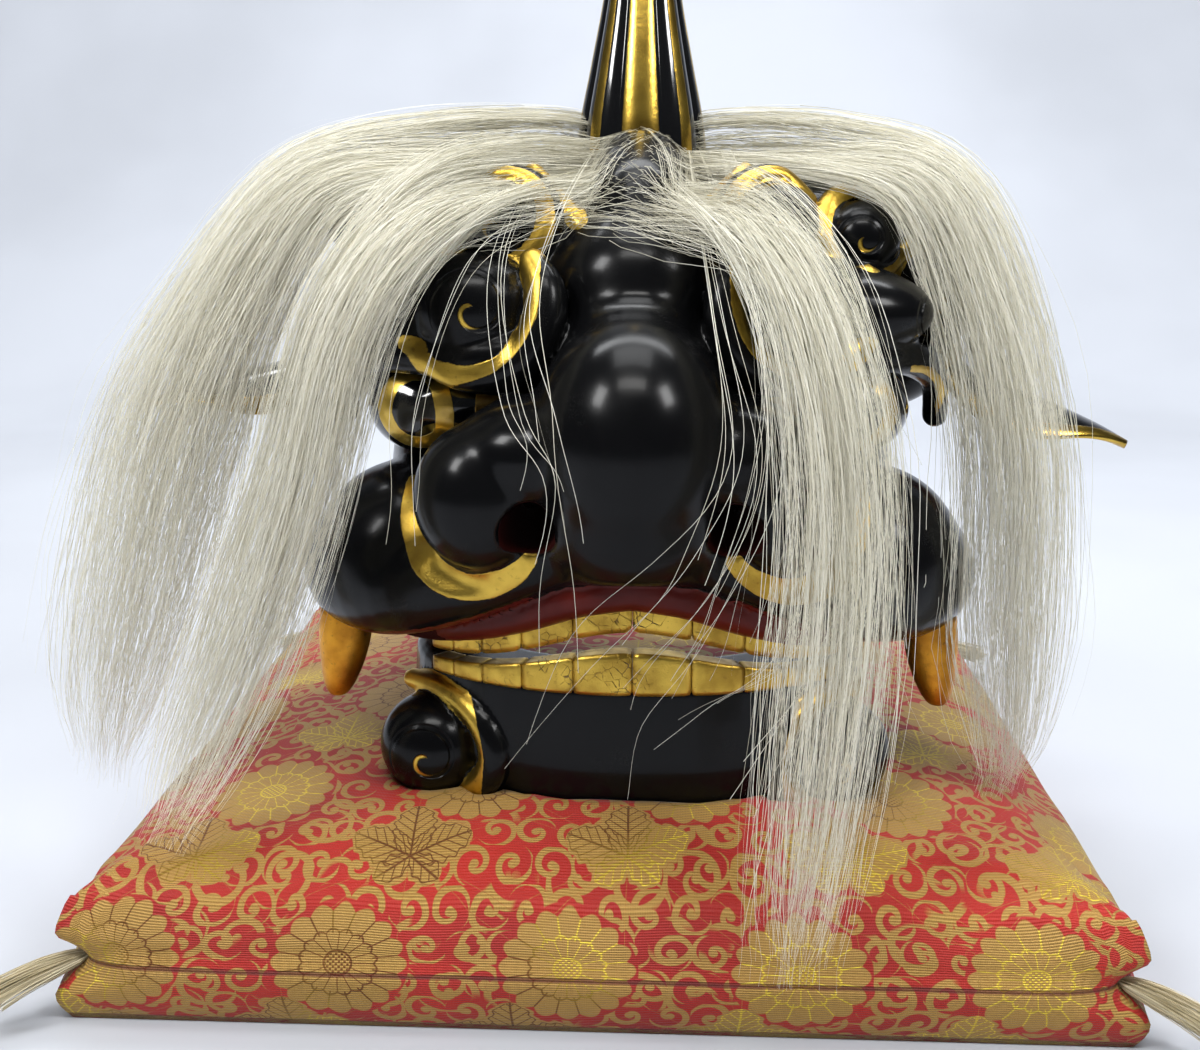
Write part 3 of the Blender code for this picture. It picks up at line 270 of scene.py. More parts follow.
def sample(d, low, h, v):
    """Field value at points, trilinear."""
    g = (v - low) / h
    i = np.clip(np.floor(g).astype(int), 0, np.array(d.shape) - 2)
    f = np.clip(g - i, 0, 1)
    out = np.zeros(len(v))
    for a in (0, 1):
        for b in (0, 1):
            for c in (0, 1):
                w = np.abs(1 - a - f[:, 0]) * np.abs(1 - b - f[:, 1]) * np.abs(1 - c - f[:, 2])
                out += w * d[i[:, 0] + a, i[:, 1] + b, i[:, 2] + c]
    return out


def gradient(d, low, h, v, eps=0.6):
    steps = np.eye(3) * eps * h
    return np.stack([(sample(d, low, h, v + s) - sample(d, low, h, v - s)) / (2 * eps * h) for s in steps], 1)


def relax(v, quads, d, low, h, rounds=2):
    """Evens out the net, keeping it on the surface."""
    e = np.concatenate([quads[:, [i, (i + 1) % 4]] for i in range(4)])
    e = np.concatenate([e, e[:, ::-1]])
    degree = np.maximum(np.bincount(e[:, 0], minlength=len(v)), 1)[:, None]
    for _ in range(rounds):
        mean = np.stack([np.bincount(e[:, 0], weights=v[e[:, 1], q], minlength=len(v))
                         for q in range(3)], 1) / degree
        v = v + 0.5 * (mean - v)
        g = gradient(d, low, h, v)
        v = v - (sample(d, low, h, v) / np.maximum((g * g).sum(1), 0.25))[:, None] * g
    return v


def net_object(name, field):
    """A mesh object of the field's surface, in metres at the head's place, with the field's normals."""
    d, low = field.full()
    h = field.step
    v, quads = surface_net(d, low, h)
    v = relax(v, quads, d, low, h)
    made = mesh_object(name, (v + (HEAD_X, 0, 0)) / 1000, quads)
    normals = gradient(d, low, h, v, 0.8)
    normals /= np.linalg.norm(normals, axis=1)[:, None] + 1e-9
    made.data.normals_split_custom_set_from_vertices(normals.astype(np.float32))
    return made, v, normals


def mesh_object(name, points, faces):
    """A smooth mesh object from arrays; faces all have the same number of corners."""
    mesh = bpy.data.meshes.new(name)
    n = faces.shape[1]
    mesh.vertices.add(len(points))
    mesh.vertices.foreach_set("co", np.asarray(points, np.float32).ravel())
    mesh.loops.add(faces.size)
    mesh.loops.foreach_set("vertex_index", faces.astype(np.int32).ravel())
    mesh.polygons.add(len(faces))
    mesh.polygons.foreach_set("loop_start", np.arange(0, faces.size, n, dtype=np.int32))
    mesh.update(calc_edges=True)
    mesh.shade_smooth()
    made = bpy.data.objects.new(name, mesh)
    bpy.context.scene.collection.objects.link(made)
    return made


def write_attribute(thing, name, values):
    a = thing.data.attributes.new(name, "FLOAT", "POINT")
    a.data.foreach_set("value", np.asarray(values, np.float32))


# Node helpers.
class Shade:
    """A material whose nodes are written as sums."""

    def __init__(self, name):
        self.material = bpy.data.materials.new(name)
        self.material.use_nodes = True
        self.tree = self.material.node_tree
        self.shader = self.tree.nodes["Principled BSDF"]

    def put(self, target, value):
        if isinstance(value, Value):
            self.tree.links.new(value.socket, target)
        elif isinstance(value, bpy.types.NodeSocket):
            self.tree.links.new(value, target)
        else:
            target.default_value = value

    def math(self, operation, *values, clamp=False):
        made = self.tree.nodes.new("ShaderNodeMath")
        made.operation = operation
        made.use_clamp = clamp
        for target, value in zip(made.inputs, values):
            self.put(target, value)
        return Value(self, made.outputs[0])

    def attribute(self, name):
        made = self.tree.nodes.new("ShaderNodeAttribute")
        made.attribute_name = name
        return Value(self, made.outputs["Fac"])

    def mix(self, share, a, b):
        made = self.tree.nodes.new("ShaderNodeMix")
        made.data_type = "RGBA"
        self.put(made.inputs[0], share)
        self.put(made.inputs[6], a)
        self.put(made.inputs[7], b)
        return made.outputs[2]

    def noise(self, scale, detail=3.0, vector=None, rough=0.5):
        made = self.tree.nodes.new("ShaderNodeTexNoise")
        made.inputs["Scale"].default_value = scale
        made.inputs["Detail"].default_value = detail
        made.inputs["Roughness"].default_value = rough
        if vector is None:
            vector = self.place()
        self.tree.links.new(vector, made.inputs["Vector"])
        return Value(self, made.outputs["Fac"])

    def place(self):
        for n in self.tree.nodes:
            if n.type == "TEX_COORD":
                return n.outputs["Object"]
        return self.tree.nodes.new("ShaderNodeTexCoord").outputs["Object"]

    def step(self, value, low, high):
        """0 below low, 1 above high, smooth between."""
        made = self.tree.nodes.new("ShaderNodeMapRange")
        made.interpolation_type = "SMOOTHSTEP"
        self.put(made.inputs["Value"], value)
        made.inputs["From Min"].default_value = low
        made.inputs["From Max"].default_value = high
        return Value(self, made.outputs["Result"])

    def bump(self, height, distance, strength=1.0, normal=None):
        made = self.tree.nodes.new("ShaderNodeBump")
        made.inputs["Distance"].default_value = distance
        made.inputs["Strength"].default_value = strength
        self.put(made.inputs["Height"], height)
        if normal is not None:
            self.tree.links.new(normal, made.inputs["Normal"])
        return made.outputs["Normal"]

    def set(self, **inputs):
        for key, value in inputs.items():
            self.put(self.shader.inputs[key.replace("_", " ")], value)


class Value:
    """A socket that adds, multiplies and compares by making math nodes."""

    def __init__(self, shade, socket):
        self.shade, self.socket = shade, socket

    def _op(self, name, *others):
        return self.shade.math(name, self, *others)

    def __add__(self, o):
        return self._op("ADD", o)

    __radd__ = __add__

    def __sub__(self, o):
        return self._op("SUBTRACT", o)

    def __rsub__(self, o):
        return self.shade.math("SUBTRACT", o, self)

    def __mul__(self, o):
        return self._op("MULTIPLY", o)

    __rmul__ = __mul__

    def __truediv__(self, o):
        return self._op("DIVIDE", o)

    def call(self, name, *others):
        return self._op(name, *others)


# Carved head.
def lip_z(x):
    return 122 + 36 * np.exp(-((x / 62.0) ** 2))


def hollow(x, y, z):
    front = np.minimum(y + 8, 0.0) / 100
    up = np.maximum(z - 196, 0.0) / 85
    return (np.sqrt((x / 86) ** 2 + front**2 + up**2) - 1.0) * 84


def build_skull(step):
    f = Field((0, -206, 84), (152, 90, 336), step)
    for row in BASE:
        f.ball(row)
    f.bar(LIP, 8)
    f.ball(SOCKET, cut=True)
    for row in FACE[:2]:
        f.ball(row)
    for name in ("brow_edge", "lid", "mid_ridge"):
        f.bar(RIDGES[name], 10 if name == "mid_ridge" else 4)
    for row in FACE[2:] + SWIRLS:
        f.ball(row)
    for name in CRESCENTS:
        f.bar(RIDGES[name], 1.5)
    for row in WING:
        f.ball(row)
    f.bar(GROOVE, 2.0, cut=True)
    f.add(BIG, lambda x, y, z: np.maximum(z - lip_z(x), y + 24) + 0 * x, 6, cut=True)
    f.bar(INNER_LIP, 1.0)
    f.add(BIG, lambda x, y, z: z - 97 + 0 * x + 0 * y, 3, cut=True)
    f.add(BIG, lambda x, y, z: 74 - y + 0 * x + 0 * z, 3, cut=True)
    f.add(BIG, hollow, 2, cut=True)
    f.bar(NOSTRIL, 2.5, cut=True)
    return f


def jaw_plan(index, count):
    """The jaw's outline from the middle of the chin to the end of an arm, in mm."""
    rows = spline([(row[index] * 95, row[index + 1] * 2.42) for row in JAW_PLAN], count)
    return np.vstack([rows, [(rows[-1][0] * 0.98, 64 if index == 0 else 94)]])


def plan_distance(outline, x, y):
    """Signed distance to a plan outline closed along the middle plane, negative inside."""
    best = np.full(np.broadcast(x, y).shape, 1e3)
    inside = np.zeros(best.shape, bool)
    ring = np.vstack([outline, [(0, outline[-1][1])]])
    for a, b in zip(ring[:-1], ring[1:]):
        d = b - a
        t = np.clip(((x - a[0]) * d[0] + (y - a[1]) * d[1]) / (d @ d + 1e-9), 0, 1)
        best = np.minimum(best, np.hypot(x - a[0] - t * d[0], y - a[1] - t * d[1]))
        crosses = (a[1] > y) != (b[1] > y)
        with np.errstate(divide="ignore", invalid="ignore"):
            at = a[0] + (y - a[1]) * d[0] / d[1]
        inside ^= crosses & (x < at)
    gap = np.where(inside, -best, best)
    return gap


def build_jaw(step):
    f = Field((0, -166, 54), (112, 76, 122), step)
    outer, inner = jaw_plan(0, 26), jaw_plan(2, 26)

    def body(x, y, z):
        flat = plan_distance(outer, x + 0 * y, y + 0 * x)
        rise = np.clip((z - 60) / 56, 0, 1)
        lean = np.interp(rise, [r for r, _ in JAW_RISE], [(1 - s) * 60 for _, s in JAW_RISE])
        front = np.clip((-y - 20) / 40, 0, 1)
        wall = flat + lean * front
        height = np.maximum(60 - z, z - 116)
        return smooth_max(wall, height + 0 * wall, 7)

    def wedge(x, y, z):
        return (z - 60 - 34 * np.clip((y + 4.8) / 68.8, 0, 1)) + 0 * x

    f.add(BIG, body, 0)
    f.add(BIG, lambda x, y, z: np.where(y > -4.8, wedge(x, y, z), 40.0) + 0 * x, 3, cut=True)
    f.ball(JAW_SWIRL)
    f.bar(JAW_CRESCENT, 1.5)
    f.add(BIG, lambda x, y, z: z - 60 + 0 * x + 0 * y, 1, cut=True)

    def tray(x, y, z):
        flat = plan_distance(inner, x + 0 * y, y + 0 * x)
        return np.maximum(flat + 0 * z, 74 - z)

    f.add(BIG, tray, 3, cut=True)
    f.add(BIG, lambda x, y, z: np.maximum(x - 65.5, 4 - y) + 0 * z, 1, cut=True)
    return f


def smooth_max(a, b, k):
    return -smooth_min(-a, -b, k)


def tube_at(rows, points, count=4):
    """Distance of scattered points, mirrored to one side, from a bar."""
    p = points.copy()
    p[:, 0] = np.abs(p[:, 0])
    return tube(spline(rows, count * len(rows)))(p[:, 0], p[:, 1], p[:, 2])


def ball_at(row, points):
    p = points.copy()
    p[:, 0] = np.abs(p[:, 0])
    return ellipsoid(row[1], row[2], row[3])(p[:, 0], p[:, 1], p[:, 2])


def ring_mask(v, inner, outer):
    """Signed distance in the front view to what lies inside one ellipse and outside another."""
    x, z = np.abs(v[:, 0]), v[:, 2]

    def ellipse(row):
        a, c, ra, rc = row
        k = np.hypot((x - a) / ra, (z - c) / rc)
        return (k - 1) * min(ra, rc)

    return np.maximum(ellipse(outer), -ellipse(inner))


LID_BALL = ("lid", (82, -92, 211), (36, 40, 25), 0)


def skull_paint(v, n):
    """Signed distances, in mm, negative inside: gold, red lacquer, painted shade in the hollows and a painted
    light spot.
    """
    x = np.abs(v[:, 0])
    front = n[:, 1] < 0.35
    gold = np.full(len(v), 9.0)
    for name, swirl, reach in (("crescent_1", SWIRLS[0], 11.0), ("crescent_2", SWIRLS[1], 7.0),
                               ("crescent_3", SWIRLS[2], 8.0), ("temple_rim", SWIRLS[3], 8.0)):
        near = ball_at(swirl, v)
        band = np.maximum(tube_at(RIDGES[name], v) - 1.0, near - reach)
        gold = np.minimum(gold, np.maximum(band, 0.9 - near))
    gold = np.minimum(gold, tube_at(RIDGES["ridge_line"], v) - 0.8)
    wing = np.maximum(ring_mask(v, (54, 186, 22.5, 25.5), (58.5, 178.5, 28.5, 29.5)),
                      0.8 - ball_at(WING[1], v))
    wing = np.maximum(np.maximum(wing, 33 - x), np.maximum(v[:, 1] + 112, v[:, 2] - 196))
    gold = np.minimum(gold, wing)
    lid_line = [(121, -84, 200, 1.5), (117, -96, 218, 1.5), (106, -110, 231, 1.5)]
    gold = np.minimum(gold, np.maximum(tube_at(lid_line, v) - 5.0, np.abs(ball_at(LID_BALL, v)) - 1.7))
    below = v[:, 2] - lip_z(x)
    edge = np.maximum(np.abs(below - 1.4) - 0.9, 74 - x)
    gold = np.minimum(gold, np.where((v[:, 1] < -22) & (n[:, 1] < 0.5), edge, 9.0))
    red = np.where((v[:, 1] < -22) & front, below + 0.3, 9.0)
    red = np.minimum(red, np.where((n[:, 2] < -0.75) & (v[:, 2] < 150) & (v[:, 1] < -22), -1.0, 9.0))
    red = np.minimum(red, tube_at(INNER_LIP, v) - 0.7)
    # painted shade: near-black red inside the hollow, down the nostril bores and in the mouth behind the lips
    deep = np.where(v[:, 1] < 72, hollow(x, v[:, 1], v[:, 2]) - 2.0, 9.0)
    deep = np.minimum(deep, np.where(v[:, 1] > -168, tube_at(NOSTRIL, v) - 0.8, 9.0))
    deep = np.minimum(deep, np.where((v[:, 2] < 150) & (v[:, 1] > -128) & (x < 92) & (n[:, 2] < 0.2),
                                     below - 8, 9.0))
    # painted light: an orange-red spot on each nostril's wall, as of light shining through
    spot = np.hypot(x - 25.5, v[:, 2] - 178) - 4.2
    spot = np.where((v[:, 1] > -158) & (v[:, 1] < -120) & (tube_at(NOSTRIL, v) < 2), spot, 9.0)
    return gold, red, deep, spot


SKULL_FIELD = build_skull(2.0)
skull, SV, SN = net_object("skull_carved", SKULL_FIELD)
for word, values in zip(("gold", "red", "deep", "spot"), skull_paint(SV, SN)):
    write_attribute(skull, word, values)

JAW_FIELD = build_jaw(1.6)
jaw, JV, _ = net_object("jaw_carved", JAW_FIELD)
near = ball_at(JAW_SWIRL, JV)
jaw_gold = np.maximum(np.maximum(tube_at(JAW_CRESCENT, JV) - 1.0, near - 10.0), 0.9 - near)
under = np.where((JV[:, 2] < 66) & (np.abs(JV[:, 0]) > 48) & (JV[:, 1] < -86), JV[:, 2] - 64.5, 9.0)
corner = np.where((np.abs(JV[:, 0]) > 80) & (JV[:, 1] > -116), np.abs(near - 3.0) - 3.0, 9.0)
write_attribute(jaw, "gold", np.minimum(np.minimum(jaw_gold, under), corner))
jaw_in = plan_distance(jaw_plan(2, 26), np.abs(JV[:, 0]), JV[:, 1]) - 0.8
write_attribute(jaw, "red", np.full(len(JV), 9.0))
# painted shade: near-black red inside the jaw's tray
write_attribute(jaw, "deep", np.where(JV[:, 2] > 70, jaw_in, 9.0))
write_attribute(jaw, "spot", np.full(len(JV), 9.0))


def rows_to_rings(rings):
    """Vertices and quads of a lofted tube with closed ends made of fans of thin quads."""
    rings = np.asarray(rings)
    m, n = rings.shape[:2]
    ids = np.arange(m * n).reshape(m, n)
    nxt = np.roll(ids, -1, axis=1)
    quads = np.stack([ids[:-1], nxt[:-1], nxt[1:], ids[1:]], -1).reshape(-1, 4)
    points = rings.reshape(-1, 3)
    ends = []
    for ring, flip in ((0, True), (m - 1, False)):
        centre = len(points)
        points = np.vstack([points, rings[ring].mean(0)])
        tri = np.stack([ids[ring], nxt[ring], np.full(n, centre), np.full(n, centre)], 1)
        ends.append(tri[:, ::-1] if flip else tri)
    return points, quads, ends


def lofted(name, rings):
    """A closed smooth solid lofted through rings of points."""
    points, quads, ends = rows_to_rings(rings)
    bm = bmesh.new()
    verts = [bm.verts.new(p) for p in points]
    for a, b, c, d in quads:
        bm.faces.new((verts[a], verts[b], verts[c], verts[d]))
    for fan in ends:
        for tri in fan:
            corners = list(dict.fromkeys(int(i) for i in tri))
            bm.faces.new([verts[i] for i in corners])
    bmesh.ops.recalc_face_normals(bm, faces=bm.faces)
    mesh = bpy.data.meshes.new(name)
    bm.to_mesh(mesh)
    bm.free()
    mesh.shade_smooth()
    made = bpy.data.objects.new(name, mesh)
    bpy.context.scene.collection.objects.link(made)
    return made


# Teeth.
def tooth_arch():
    a = np.linspace(0, math.pi / 2, 200)
    p = np.stack([93.2 * np.sin(a) ** 0.95, -147 + 60 * (1 - np.cos(a))], 1)
    s = np.concatenate([[0], np.cumsum(np.linalg.norm(np.diff(p, axis=0), axis=1))])
    return p, s


ARCH, ARCH_S = tooth_arch()


def arch_point(s):
    x, y = np.interp(s, ARCH_S, ARCH[:, 0]), np.interp(s, ARCH_S, ARCH[:, 1])
    x2, y2 = np.interp(s + 0.5, ARCH_S, ARCH[:, 0]), np.interp(s + 0.5, ARCH_S, ARCH[:, 1])
    t = np.array([x2 - x, y2 - y])
    t /= np.linalg.norm(t) + 1e-9
    return np.array([x, y]), t, np.array([t[1], -t[0]])


def make_teeth(name, upper):
    """A row of rounded teeth on the arch, joined into one mesh."""
    bm = bmesh.new()
    s = 0.0
    spans = []
    for width in TOOTH_WIDTHS:
        spans.append((s, s + width * 2.42))
        s += width * 2.42
    for a, b in spans:
        for side in (1, -1):
            mid, half = (a + b) / 2, (b - a) / 2 - 0.15
            cells = 8
            box = bmesh.ops.create_grid(bm, x_segments=1, y_segments=1, size=0.001)["verts"]
            bmesh.ops.delete(bm, geom=box, context="VERTS")
            cube = bmesh.ops.create_cube(bm, size=2.0)["verts"]
            edges = list({e for v in cube for e in v.link_edges})
            bmesh.ops.subdivide_edges(bm, edges=edges, cuts=cells, use_grid_fill=True)
            fresh = [v for v in bm.verts if not v.tag]
            for v in fresh:
                v.tag = True
                u, w, h = v.co
                r = 0.16
                q = np.array([max(abs(u) - (1 - r), 0), max(abs(w) - (1 - 0.5 * r), 0),
                              max(abs(h) - (1 - r), 0)])
                bulge = 1 - 0.06 * (u * u + h * h) * (w < 0)
                u = math.copysign(min(abs(u), 1 - 0.3 * q[2]), u)
                h = math.copysign(min(abs(h), 1 - 0.3 * q[0]), h)
                w = w * bulge * (1 - 0.10 * max(abs(u), abs(h)) ** 6 * (w < 0))
                at = mid + u * half
                p, _, out = arch_point(at)
                x = p[0]
                droop = 1 - math.exp(-((x / 45) ** 2))
                if upper:
                    low, high = 135.4 - 16 * droop, lip_z(x) + 5
                else:
                    low, high = 127.4 - 11 * droop, 111.0
                z = low + (high - low) * (h + 1) / 2 if upper else high + (low - high) * (h + 1) / 2
                deep = (1 - w) / 2 * 8.4
                flat = p + out * (deep - 8.4)
                v.co = ((HEAD_X + side * flat[0]) / 1000, flat[1] / 1000, z / 1000)
    bmesh.ops.recalc_face_normals(bm, faces=bm.faces)
    mesh = bpy.data.meshes.new(name)
    bm.to_mesh(mesh)
    bm.free()
    mesh.shade_smooth()
    made = bpy.data.objects.new(name, mesh)
    bpy.context.scene.collection.objects.link(made)
    return made


upper_teeth, lower_teeth = make_teeth("upper_tooth_row", True), make_teeth("lower_tooth_row", False)


def place(share):
    return np.array((HEAD_X + share[0] * 2.42, share[1] * 2.42, 60 + share[2] * 2.42))


def flipped(points, side):
    points = np.array(points, float)
    if side < 0:
        points[..., 0] = 2 * HEAD_X - points[..., 0]
    return points


def make_fang(name, side):
    """A blunt carved fang at the corner of the upper lip."""
    root = place((47.9, -41.3, 29.0))
    rings = []
    table = spline([(*r,) for r in FANG_SECTIONS] + [(1.03, 0.12, 0.16, 0.37)], 22)
    for down, across, fore, lean in table:
        a = np.linspace(0, 2 * math.pi, 28, endpoint=False)
        c = root + np.array([lean * 10.5, -lean * 5.2, -min(down, 1.0) * 36])
        rings.append(np.stack([c[0] + across * 10.5 * np.cos(a), c[1] + fore * 10.5 * np.sin(a),
                               np.full(28, c[2])], 1))
    return lofted(name, flipped(rings, side) / 1000)


fangs = {side: make_fang("fang_" + word, side) for side, word in ((1, "right_carved"), (-1, "left_carved"))}


def make_eye(name, side):
    """A bulging eyeball with its inner corner drawn out toward the nose."""
    f = Field((0, 0, 0), (1, 1, 1), 1.0)
    ball, corner = (82.0, -99.9, 212.0), (58.1, -112.0, 213.9)
    low, high = np.array((26, -134, 188.0)), np.array((108, -74, 236.0))
    f.step = 1.2
    f.axes = [np.arange(low[i], high[i], 1.2, dtype=np.float32) for i in range(3)]
    f.low = low
    f.d = np.full([len(a) for a in f.axes], 30.0, np.float32)
    f.add(BIG, ellipsoid(ball, (21, 20.2, 18.5), -14), 0)
    f.add(BIG, ellipsoid(corner, (28.1, 11.8, 12.2), -8), 4)
    v, quads = surface_net(f.d, low, f.step)
    v = relax(v, quads, f.d, low, f.step)
    n = gradient(f.d, low, f.step, v, 0.8)
    n /= np.linalg.norm(n, axis=1)[:, None]
    if side < 0:
        quads = quads[:, ::-1]
    made = mesh_object(name, flipped(v + (HEAD_X, 0, 0), side) / 1000, quads)
    n[:, 0] *= side
    made.data.normals_split_custom_set_from_vertices(n.astype(np.float32))
    middle = np.array((81.5, -118.0, 212.5))
    view = v - middle
    turn = math.radians(14)
    a = view[:, 0] * math.cos(turn) + view[:, 1] * math.sin(turn)
    b = view[:, 2]
    write_attribute(made, "pupil", (np.hypot(a / 8.9, b / 10.6) - 1) * 9)
    write_attribute(made, "ring", (np.hypot(a / 15.8, b / 16.2) - 1) * 16)
    write_attribute(made, "inner", a + 23.5)
    return made


eyes = {side: make_eye("eyeball_" + word, side) for side, word in ((1, "right"), (-1, "left"))}


def make_ear(name, side):
    """A drooping leaf-shaped ear, hollowed below, with a gold band round its rim."""
    root, tip = place((45.5, -17.5, 68.0)), place(EAR_TIPS[side])
    along = (tip - root) / np.linalg.norm(tip - root)
    tip = root + along * 96
    wide = np.array((0.1, -1.0, 0.0))
    wide -= along * (wide @ along)
    wide /= np.linalg.norm(wide)
    face = np.cross(along, wide)
    rings, rim, belly = [], [], []
    for share, half, thick, deep in spline(EAR_SECTIONS, 54):
        a = np.linspace(0, 2 * math.pi, 40, endpoint=False)
        across = np.cos(a) * half * 23
        out = np.sin(a) * thick * 6
        out = np.where(out > 0, out - deep * 12 * (1 - np.cos(a) ** 2), out)
        bend = 26 * (across / 23) ** 2 * deep
        centre = root + (tip - root) * share
        rings.append(centre + across[:, None] * wide + (out + bend)[:, None] * face)
        rim.append(half * 23 * (1 - np.abs(np.cos(a))))
        belly.append(np.where(np.sin(a) > 0.02, -1.0, 1.0) * 3)
    made = lofted(name, flipped(rings, side) / 1000)
    write_attribute(made, "rim", np.concatenate([np.concatenate(rim), [9, 9]]))
    write_attribute(made, "belly", np.concatenate([np.concatenate(belly), [3, 3]]))
    return made


ears = {side: make_ear("ear_carved_" + word, side) for side, word in ((1, "right"), (-1, "left"))}


def make_horn():
    """The fluted horn with gold laid in every other flute."""
    rings, flute = [], []
    for up, radius, lean in spline(HORN_SECTIONS, 60):
        a = np.linspace(0, 2 * math.pi, 192, endpoint=False)
        wave = np.abs(np.sin(a * 4 + math.pi / 2))
        r = 26.5 * radius * (1 - 0.09 * (1 - wave**0.7))
        r = np.where(wave < 0.02, r * 0.99, r)
        rings.append(np.stack([HEAD_X + r * np.sin(a), -39.9 + lean * 138 - r * np.cos(a) * 0.92,
                               np.full(192, 294 + up * 138)], 1))
        off = np.abs((a + math.pi / 8) % (math.pi / 4) - math.pi / 8)
        which = np.floor((a + math.pi / 8) / (math.pi / 4)).astype(int) % 8
        width = np.where(which == 0, 0.30, np.where(which % 2 == 0, 0.17, 0.11))
        flute.append((off - width) * r)
    made = lofted("horn_fluted", np.array(rings) / 1000)
    write_attribute(made, "gold", np.concatenate([np.concatenate(flute), [5, 5]]))
    return made


horn = make_horn()


def make_pin(name, side):
    bm = bmesh.new()
    turn = Matrix.Translation(((HEAD_X + side * 84) / 1000, 0.050, 0.103)) \
        @ Matrix.Rotation(math.pi / 2, 4, "Y")
    bmesh.ops.create_cone(bm, cap_ends=True, segments=32, radius1=0.003, radius2=0.003, depth=0.034,
                          matrix=turn)
    edges = [e for e in bm.edges if e.calc_face_angle(0) > 1]
    bmesh.ops.bevel(bm, geom=edges, offset=0.0004, segments=2, affect="EDGES")
    mesh = bpy.data.meshes.new(name)
    bm.to_mesh(mesh)
    bm.free()
    mesh.shade_smooth()
    made = bpy.data.objects.new(name, mesh)
    bpy.context.scene.collection.objects.link(made)
    return made


pins = {side: make_pin("pin_" + word, side) for side, word in ((1, "right"), (-1, "left"))}


# Materials.
def spiral(s, centre, radius, hand=1.0, turns=1.5, phase=0.0):
    """A carved spiral line round a swirl's middle in the front view: the line, and its gold inner end."""
    split = s.tree.nodes.new("ShaderNodeSeparateXYZ")
    s.tree.links.new(s.place(), split.inputs[0])
    x, y, z = (Value(s, out) for out in split.outputs)
    a = ((x * 1000.0 - HEAD_X).call("ABSOLUTE") - centre[0]) * hand
    b = z * 1000.0 - centre[2]
    r = (a * a + b * b).call("SQRT")
    turn = b.call("ARCTAN2", a) / (2 * math.pi) + phase
    pitch = radius / turns
    lap = r / pitch + turn
    off = ((lap.call("FRACT") - 0.5).call("ABSOLUTE")) * pitch
    near = (1.0 - s.step(r, radius * 0.90, radius * 0.97)) \
        * (1.0 - s.step(y, centre[1] / 1000, centre[1] / 1000 + 0.004))
    line = (1.0 - s.step(off, 0.5, 1.3)) * near * s.step(r, 1.2, 2.0)
    inner = (1.0 - s.step(off, 0.7, 1.1)) * near * (1.0 - s.step(r, radius * 0.36, radius * 0.42)) \
        * s.step(r, 1.2, 2.0)
    return line, inner


def lacquer(name, swirls=()):
    """Glossy black lacquer, with gold leaf and red lacquer where the paint attributes say, painted shade in
    the hollows and a painted light spot.
    """
    s = Shade(name)
    wave = s.noise(60, 2)
    fine = s.noise(900, 3)
    dust = s.step(s.noise(38, 4, rough=0.65), 0.52, 0.80) * s.step(s.noise(2400, 2), 0.50, 0.72)
    black = s.mix(dust * 0.30, (0.0035, 0.0036, 0.0040, 1), (0.05, 0.047, 0.042, 1))
    wobble = (s.noise(160, 2) - 0.5) * 1.1 + (s.noise(700, 2) - 0.5) * 0.5
    gold = 1.0 - s.step(s.attribute("gold") + wobble, -0.16, 0.16)
    red = 1.0 - s.step(s.attribute("red") + wobble * 0.4, -0.2, 0.2)
    groove = None
    for centre, radius, hand, turns, phase in swirls:
        line, inner = spiral(s, centre, radius, hand, turns, phase)
        groove = line if groove is None else groove.call("MAXIMUM", line)
        gold = gold.call("MAXIMUM", inner)
    red_tone = s.mix(s.step(s.noise(30, 3), 0.35, 0.7), (0.085, 0.007, 0.005, 1), (0.14, 0.013, 0.007, 1))
    colour = s.mix(gold, s.mix(red, black, red_tone), gold_tone(s))
    # painted shade: the hollows turn near-black red, matte and without gold, where the deep attribute says
    deep = 1.0 - s.step(s.attribute("deep"), -0.3, 0.5)
    # painted light: the orange-red spot on the nostril wall
    spot = 1.0 - s.step(s.attribute("spot") + wobble, -0.3, 0.3)
    colour = s.mix(deep, colour, (0.030, 0.004, 0.003, 1))
    colour = s.mix(spot, colour, (0.62, 0.13, 0.05, 1))
    rough = 0.20 + s.step(wave, 0.35, 0.75) * 0.07 + dust * 0.22
    rough = rough * (1.0 - red) + red * 0.30
    rough = rough * (1.0 - deep) + deep * 0.75
    gold = gold * (1.0 - deep)
    rough = rough * (1.0 - gold) + gold * (0.26 + fine * 0.16)
    s.set(Base_Color=colour, Roughness=rough, Metallic=gold, Coat_Weight=(0.05 - gold * 0.05) * (1.0 - deep))
    s.set(Coat_Roughness=0.10, Specular_IOR_Level=0.15 - deep * 0.09)
    normal = s.bump(wave * 0.65, 0.0006, 0.30)
    leaf = 1.0 - s.step(s.attribute("gold"), -0.16, 0.16)
    normal = s.bump(leaf * (0.7 + s.noise(1300, 2) * 0.6), 0.00022, 0.7, normal)
    if groove is not None:
        normal = s.bump(groove * -1.0, 0.0011, 1.0, normal)
    s.set(Normal=normal)
    return s.material


def gold_tone(s, warm=False):
    """Old gold leaf: bright with brown tarnish and small dark specks."""
    a = (0.86, 0.42, 0.045, 1) if warm else (0.74, 0.50, 0.085, 1)
    b = (0.46, 0.18, 0.020, 1) if warm else (0.38, 0.23, 0.035, 1)
    tone = s.mix(s.step(s.noise(55, 4), 0.34, 0.74), a, b)
    tone = s.mix(s.step(s.noise(420, 3), 0.60, 0.78) * 0.5, tone, (0.26, 0.13, 0.03, 1))
    return s.mix(s.step(s.noise(1500, 2), 0.70, 0.80) * 0.75, tone, (0.04, 0.022, 0.010, 1))


